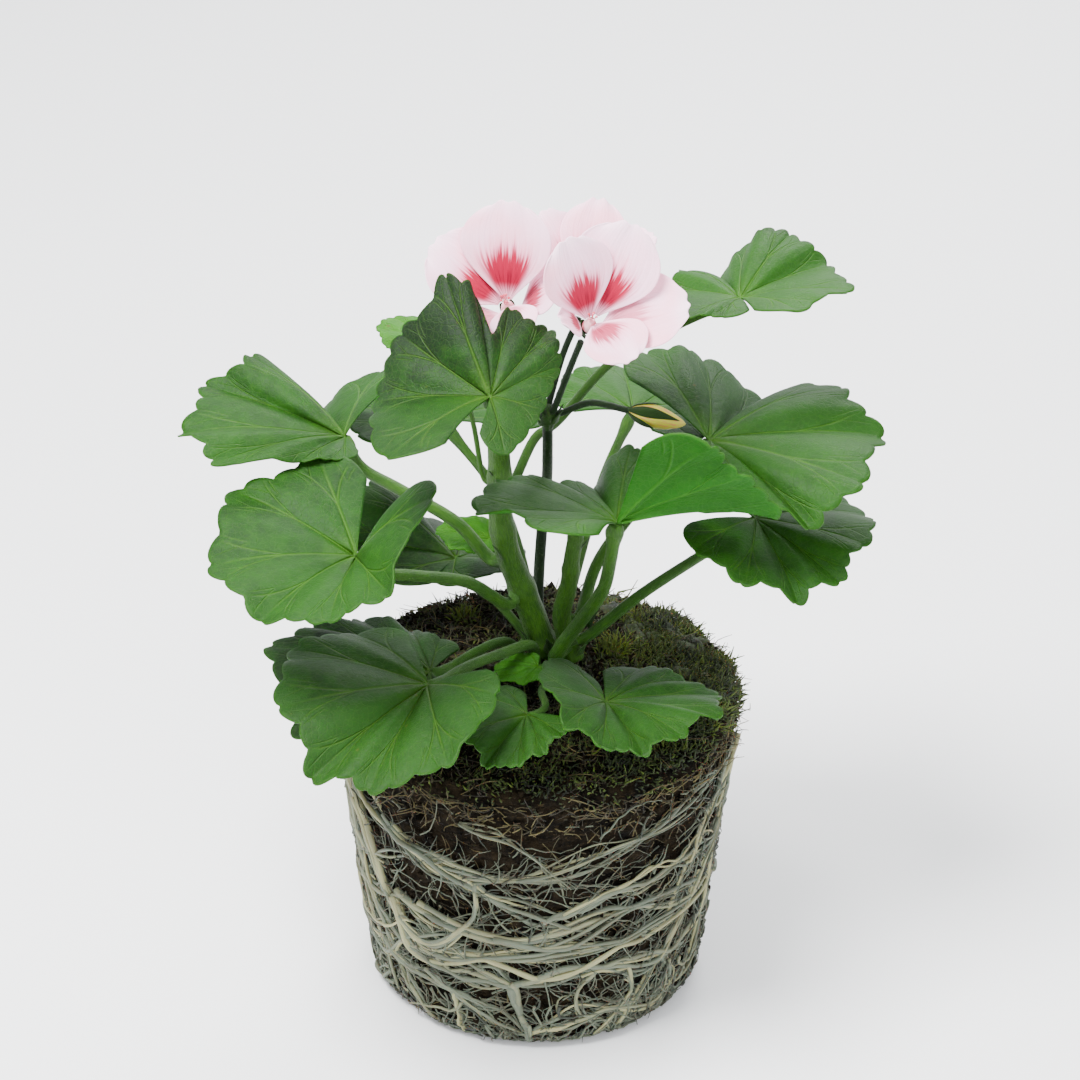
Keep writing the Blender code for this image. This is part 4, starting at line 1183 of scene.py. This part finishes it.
# Main root runs over the front of the root ball: (bearing, height) points, strands, thickness, spread
FRONT_FLOWS = [
    ([(-162, 84), (-140, 72), (-115, 64), (-90, 51), (-75, 46)], 9, 1.25, 3.0),
    ([(-160, 80), (-150, 58), (-137, 38), (-124, 34), (-110, 48), (-108, 63)], 10, 1.35, 2.6),
    ([(-140, 46), (-130, 30), (-100, 36), (-60, 38), (-18, 42)], 10, 1.15, 3.6),
    ([(-140, 76), (-120, 66), (-90, 66), (-60, 75), (-16, 84)], 8, 0.85, 3.4),
    ([(-88, 50), (-70, 58), (-45, 60), (-22, 58)], 7, 0.95, 3.0),
    ([(-139, 48), (-115, 44), (-90, 42), (-60, 50), (-20, 43)], 10, 1.2, 3.6),
    ([(-98, 25), (-120, 26), (-142, 31), (-156, 40)], 7, 1.0, 2.4),
    ([(-98, 25), (-75, 30), (-40, 25), (-12, 30)], 8, 1.1, 2.8),
    ([(-98, 25), (-95, 14), (-92, 2)], 6, 1.5, 1.8),
    ([(-98, 25), (-116, 33), (-134, 44)], 5, 0.9, 2.0),
    ([(-150, 24), (-120, 19), (-92, 5)], 8, 0.95, 3.0),
    ([(-92, 6), (-72, 13), (-40, 10), (-10, 14)], 8, 0.9, 3.2),
    ([(-10, 86), (-30, 70), (-46, 38)], 9, 0.9, 3.6),
    ([(-14, 84), (-19, 54), (-27, 10)], 9, 0.85, 3.4),
    ([(-12, 70), (-40, 34), (-62, 3)], 9, 0.95, 3.2),
    ([(-160, 78), (-160, 40), (-146, 6)], 8, 0.9, 3.0),
    ([(-165, 72), (-152, 36), (-128, 4)], 8, 1.0, 3.0),
    ([(-112, 84), (-96, 78), (-80, 62)], 4, 0.5, 2.0),
    ([(-71, 29), (-77, 18), (-64, 3)], 5, 0.75, 1.8),
    ([(-63, 30), (-57, 17), (-70, 3)], 5, 0.7, 1.8),
    ([(-118, 18), (-116, 3)], 4, 0.8, 1.6),
    ([(-45, 26), (-38, 14), (-44, 4)], 5, 0.8, 1.8),
]
ROUTE_STEP = 3.0  # length between the points that a root is built on


def make_roots():
    rng = np.random.default_rng(5)
    front, behind, thin, fine = Bundle(), Bundle(), Bundle(), Bundle()
    for route, strands, thick, spread in FRONT_FLOWS:
        flow(front, thin, rng, route, strands, thick, spread)
    for k in range(30):
        bearing, z = -8 + 6.4 * k, rng.uniform(12, 86)
        turn, drop = rng.uniform(40, 80), rng.uniform(-26, 26)
        route = [(bearing + turn * t / 4, np.clip(z + drop * t / 4 - 10 * math.sin(math.pi * t / 4)
                                                  + rng.normal(0, 3), 3, 88)) for t in range(5)]
        flow(behind, fine, rng, route, 7, rng.uniform(0.7, 1.2), 3.4)
    for _ in range(700):
        z = 90 * rng.beta(1.15, 1.6)
        pitch = rng.normal(0.0, 0.6) + (math.pi if rng.random() < 0.5 else 0.0)
        fine_root(rng, rng.uniform(-180, 180), z, rng.uniform(6, 24), rng.uniform(0.14, 0.36), fine, pitch,
                  0.12)
    for _ in range(300):
        pitch = rng.uniform(-2.3, -0.8)
        fine_root(rng, rng.uniform(-180, 180), rng.uniform(3, 22), rng.uniform(8, 26), rng.uniform(0.25, 0.6),
                  thin, pitch, 0.24)
    front.piece("front_roots", FINISHES["root"], "root_mat", "roots")
    behind.piece("far_roots", FINISHES["root"], None, "roots")
    thin.piece("branching_roots", FINISHES["root"], None, "roots")
    fine.piece("fine_roots", FINISHES["root"], None, "roots")


def soil_top(r):
    corner = PLUG_TOP_RADIUS - TOP_ROUND
    if r <= corner:
        return PLUG_HEIGHT + PLUG_DOME * (1 - (r / corner) ** 2)
    drop = min(r - corner, TOP_ROUND)
    return PLUG_HEIGHT - TOP_ROUND + math.sqrt(max(0.0, TOP_ROUND ** 2 - drop ** 2))


def mossiness(bearing, r):
    """How thickly moss grows at a bearing and radius on top of the root ball."""
    a = (bearing + 180) % 360 - 180
    right = math.exp(-((a - 4) / 58) ** 2)
    front = 0.20 * math.exp(-((a + 92) / 40) ** 2)
    ring = math.exp(-((r - 50) / 14) ** 2)
    patch = 0.5 + 0.9 * noise.noise(Vector((a * 0.06, r * 0.12, 2.0)))
    return (right + front) * (0.25 + ring) * patch + 0.10


# Brighter moss tufts on the soil: middle of each
TUFTS = [(24, 14, 100), (21, 11, 100.5), (48, -24, 96), (30, 34, 99), (-22, 36, 99), (44, 8, 98)]


def bent_fibre(root, flat, length, sway, rng):
    """Path of a fibre that lies on the peat, swayed at its middle."""
    middle = root + flat * length * 0.5 + rng.normal(0, sway, 3)
    return smooth_path([root, middle, root + flat * length], 2)


MOSS_SHOOTS = 9000
TUFT_SHOOTS = 420
TOP_FIBRES = 2600
SIDE_FIBRES = 1500
RIM_FIBRES = 420


def make_moss():
    rng = np.random.default_rng(17)
    mat = Bundle()
    base = []
    columns, rows = 300, 60
    for i in range(columns):
        bearing = -50 + 146 * i / (columns - 1)
        a = math.radians(bearing)
        for j in range(rows):
            t = j / (rows - 1)
            across = math.sin(math.pi * (i / (columns - 1))) ** 0.5
            swell = across * math.sin(math.pi * t) ** 0.6
            spot_in_bed = Vector((math.cos(a) * 6, math.sin(a) * 6, t * 5.0))
            lump = 0.55 + 0.8 * noise.fractal(spot_in_bed, 0.6, 2.0, 5)
            out = -3.6 + 4.4 * swell * lump
            if t < 0.72:
                r = 30 + 25.0 * t / 0.72
                base.append((r * math.cos(a), r * math.sin(a), soil_top(r) + out))
            else:
                turn = (t - 0.72) / 0.28
                b = math.radians(90 * min(1.0, turn * 1.6))
                r = 55 + (5 + out) * math.sin(b)
                z = 92 + (5 + out) * math.cos(b) - max(0.0, turn - 0.62) * 5
                base.append((r * math.cos(a), r * math.sin(a), z))
    faces = [tuple(reversed(face)) for face in grid_faces(columns, rows)]
    shade = [0.04 + 0.16 * noise.noise(Vector(p) * 0.15) for p in base]
    cushion = make_mesh("moss_bed", base, faces, [FINISHES["moss"]], None, {"shade": shade})
    apply_modifier(cushion, "SOLIDIFY", thickness=1.2 * MM, offset=-1.0)
    settle(cushion, "moss_cushion", "moss")
    made = 0
    while made < MOSS_SHOOTS:
        bearing, r = rng.uniform(-180, 180), 60.5 * math.sqrt(rng.uniform(0.03, 1.0))
        if rng.random() > mossiness(bearing, r) * 1.25:
            continue
        made += 1
        a = math.radians(bearing)
        swell = 3.2 * min(1.0, mossiness(bearing, r))
        root = np.array([r * math.cos(a), r * math.sin(a), soil_top(r) + swell - 1.0])
        lean = 0.2 + 1.3 * (r / 58) ** 6
        up = unit(np.array([math.cos(a) * lean, math.sin(a) * lean, 1.0]) + rng.normal(0, 0.8, 3))
        length = rng.uniform(1.0, 2.5) * (1.0 if rng.random() < 0.97 else 2.0)
        bend = rng.normal(0, 0.35, 3)
        path = [root, root + up * length * 0.5, root + up * length + bend * length]
        mat.add(path, np.array([0.26, 0.24, 0.06]) * rng.uniform(0.7, 1.5), 4, float(rng.beta(0.9, 3.4)))
    for number in range(TUFT_SHOOTS):
        tuft = number % 6
        middle = TUFTS[tuft]
        spread = rng.normal(0, 2.0, 2)
        root = np.array([middle[0] + spread[0], middle[1] + spread[1], middle[2]])
        up = unit(np.array([0.35 * spread[0], 0.35 * spread[1], 1.6]) + rng.normal(0, 0.5, 3))
        length = rng.uniform(2.5, 7.5 if tuft < 2 else 4.5)
        path = smooth_path([root, root + up * length * 0.6, root + up * length + (0, 0, -0.25 * length)], 2)
        mat.add(path, np.linspace(0.28, 0.06, len(path)), 4, float(rng.uniform(0.55, 1.0)))
    mat.piece("moss_shoots", FINISHES["moss"], None, "moss")
    litter = Bundle()
    for _ in range(TOP_FIBRES):
        bearing, r = rng.uniform(-180, 180), 59 * math.sqrt(rng.uniform(0.02, 1.0))
        a = math.radians(bearing)
        root = np.array([r * math.cos(a), r * math.sin(a), soil_top(r) + rng.uniform(-0.4, 0.6)])
        flat = unit(np.array([rng.normal(), rng.normal(), rng.normal(0, 0.22)]))
        length = rng.uniform(2, 9)
        path = bent_fibre(root, flat, length, 0.5, rng)
        litter.add(path, np.linspace(0.2, 0.07, len(path)) * rng.uniform(0.7, 1.5), 4, rng.uniform(0, 1) ** 4)
    for _ in range(SIDE_FIBRES):
        bearing, z = rng.uniform(-180, 180), rng.uniform(2, 90)
        root = np.array(on_plug(bearing, z, rng.uniform(-0.2, 0.6)))
        flat = unit(np.cross(root * (1, 1, 0), rng.normal(size=3)))
        length = rng.uniform(2, 8)
        path = bent_fibre(root, flat, length, 0.5, rng)
        path[:, 2] = np.clip(path[:, 2], 0.8, None)
        litter.add(path, np.linspace(0.18, 0.06, len(path)) * rng.uniform(0.7, 1.4), 4,
                   rng.uniform(0, 1) ** 2)
    for _ in range(RIM_FIBRES):
        bearing, z = rng.uniform(-165, -5), rng.uniform(82, 95)
        root = np.array(on_plug(bearing, min(z, 91.5), rng.uniform(-0.3, 0.8)))
        flat = unit(np.cross(root * (1, 1, 0), (0, 0, 1)) * rng.choice((-1, 1)) / 60 + rng.normal(0, 0.55, 3))
        length = rng.uniform(3, 11)
        path = bent_fibre(root, flat, length, 0.7, rng)
        reach = np.hypot(path[:, 0], path[:, 1])
        most = np.minimum(1.0, 63.5 / reach)
        path[:, :2] *= most[:, None]
        litter.add(path, np.linspace(0.24, 0.08, len(path)), 4, rng.uniform(0.1, 1) ** 1.5)
    litter.piece("peat_fibres", FINISHES["fibre"], None, "peat")
    make_crumbs(rng)


def make_crumbs(rng):
    """Loose lumps of peat over the top and the side of the root ball."""
    golden = (1 + math.sqrt(5)) / 2
    corners = unit(np.array([(-1, golden, 0), (1, golden, 0), (-1, -golden, 0), (1, -golden, 0),
                             (0, -1, golden),
                             (0, 1, golden), (0, -1, -golden), (0, 1, -golden), (golden, 0, -1),
                             (golden, 0, 1),
                             (-golden, 0, -1), (-golden, 0, 1)], float))
    sides = [(0, 11, 5), (0, 5, 1), (0, 1, 7), (0, 7, 10), (0, 10, 11), (1, 5, 9), (5, 11, 4), (11, 10, 2),
             (10, 7, 6), (7, 1, 8), (3, 9, 4), (3, 4, 2), (3, 2, 6), (3, 6, 8), (3, 8, 9), (4, 9, 5),
             (2, 4, 11),
             (6, 2, 10), (8, 6, 7), (9, 8, 1)]
    points, faces = [], []
    for number in range(7000):
        bearing = rng.uniform(-180, 180)
        a = math.radians(bearing)
        if number % 2:
            r = 59 * math.sqrt(rng.uniform(0.02, 1.0))
            spot = np.array([r * math.cos(a), r * math.sin(a), soil_top(r) + rng.uniform(-0.5, 0.3)])
        else:
            spot = np.array(on_plug(bearing, rng.uniform(3, 92), rng.uniform(-0.6, 0.2)))
        size = 0.35 + 1.3 * rng.random() ** 3
        lump = corners * size * rng.uniform(0.65, 1.3, (12, 1)) * rng.uniform(0.6, 1.2, 3)
        base = len(points)
        points.extend(lump + spot)
        faces.extend(tuple(base + i for i in side) for side in sides)
    piece = make_mesh("peat_crumbs", points, faces, [FINISHES["peat"]])
    piece.data.shade_flat()
    settle(piece, None, "peat")


# ---------------------------------------------------------------- setting

def area_light(name, spot, aim, size, energy, colour=(1.0, 1.0, 1.0)):
    data = bpy.data.lights.new(name, "AREA")
    data.shape = "DISK"
    data.size = size
    data.energy = energy
    data.color = colour
    lamp = bpy.data.objects.new(name, data)
    lamp.location = spot
    lamp.rotation_euler = (Vector(aim) - Vector(spot)).to_track_quat("-Z", "Y").to_euler()
    bpy.context.scene.collection.objects.link(lamp)


CAMERA_TARGET = (0.0010, 0.0, 0.1457)
CAMERA_ELEVATION = 29.0
CAMERA_LENS = 115.0
SENSOR_WIDTH = 36.0
FLOOR_HALF = 3.0


def make_setting():
    target = Vector(CAMERA_TARGET)
    lift = math.radians(CAMERA_ELEVATION)
    camera = bpy.data.objects.new("camera", bpy.data.cameras.new("camera"))
    camera.data.lens = CAMERA_LENS
    camera.data.sensor_width = SENSOR_WIDTH
    camera.location = target + Vector((0.0, -math.cos(lift), math.sin(lift)))
    camera.rotation_euler = (target - camera.location).to_track_quat("-Z", "Y").to_euler()
    bpy.context.scene.collection.objects.link(camera)
    bpy.context.scene.camera = camera

    f = Finish("studio_floor", roughness=0.85)
    f.colour(f.mix(f.noise(3.0, 2.0) * 0.3, (0.86, 0.86, 0.86), (0.83, 0.83, 0.84)))
    half = FLOOR_HALF
    level = CAD_BOUNDS[0][2]
    corners = [(-half, -half, level), (half, -half, level), (half, half, level), (-half, half, level)]
    floor = make_mesh("floor", np.array(corners) / MM, [(0, 1, 2, 3)], [f.material])

    world = bpy.data.worlds.new("soft_studio")
    world.use_nodes = True
    world.node_tree.nodes["Background"].inputs["Color"].default_value = (0.93, 0.96, 1.0, 1.0)
    world.node_tree.nodes["Background"].inputs["Strength"].default_value = 1.5
    bpy.context.scene.world = world
    middle = (0.0, 0.0, 0.15)
    area_light("overhead_soft", (-0.35, -0.25, 1.1), middle, 0.55, 42.0)
    area_light("front_fill", (0.5, -1.3, 0.7), middle, 0.9, 14.0)
    area_light("back_rim", (0.3, 1.0, 0.9), middle, 0.6, 16.0)


def main():
    make_setting()
    make_soil()
    make_roots()
    make_moss()
    make_stems()
    make_leaves()
    make_umbel()
    make_stipules()
    stem_hairs()
    make_bud()
    make_flowers()
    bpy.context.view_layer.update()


main()
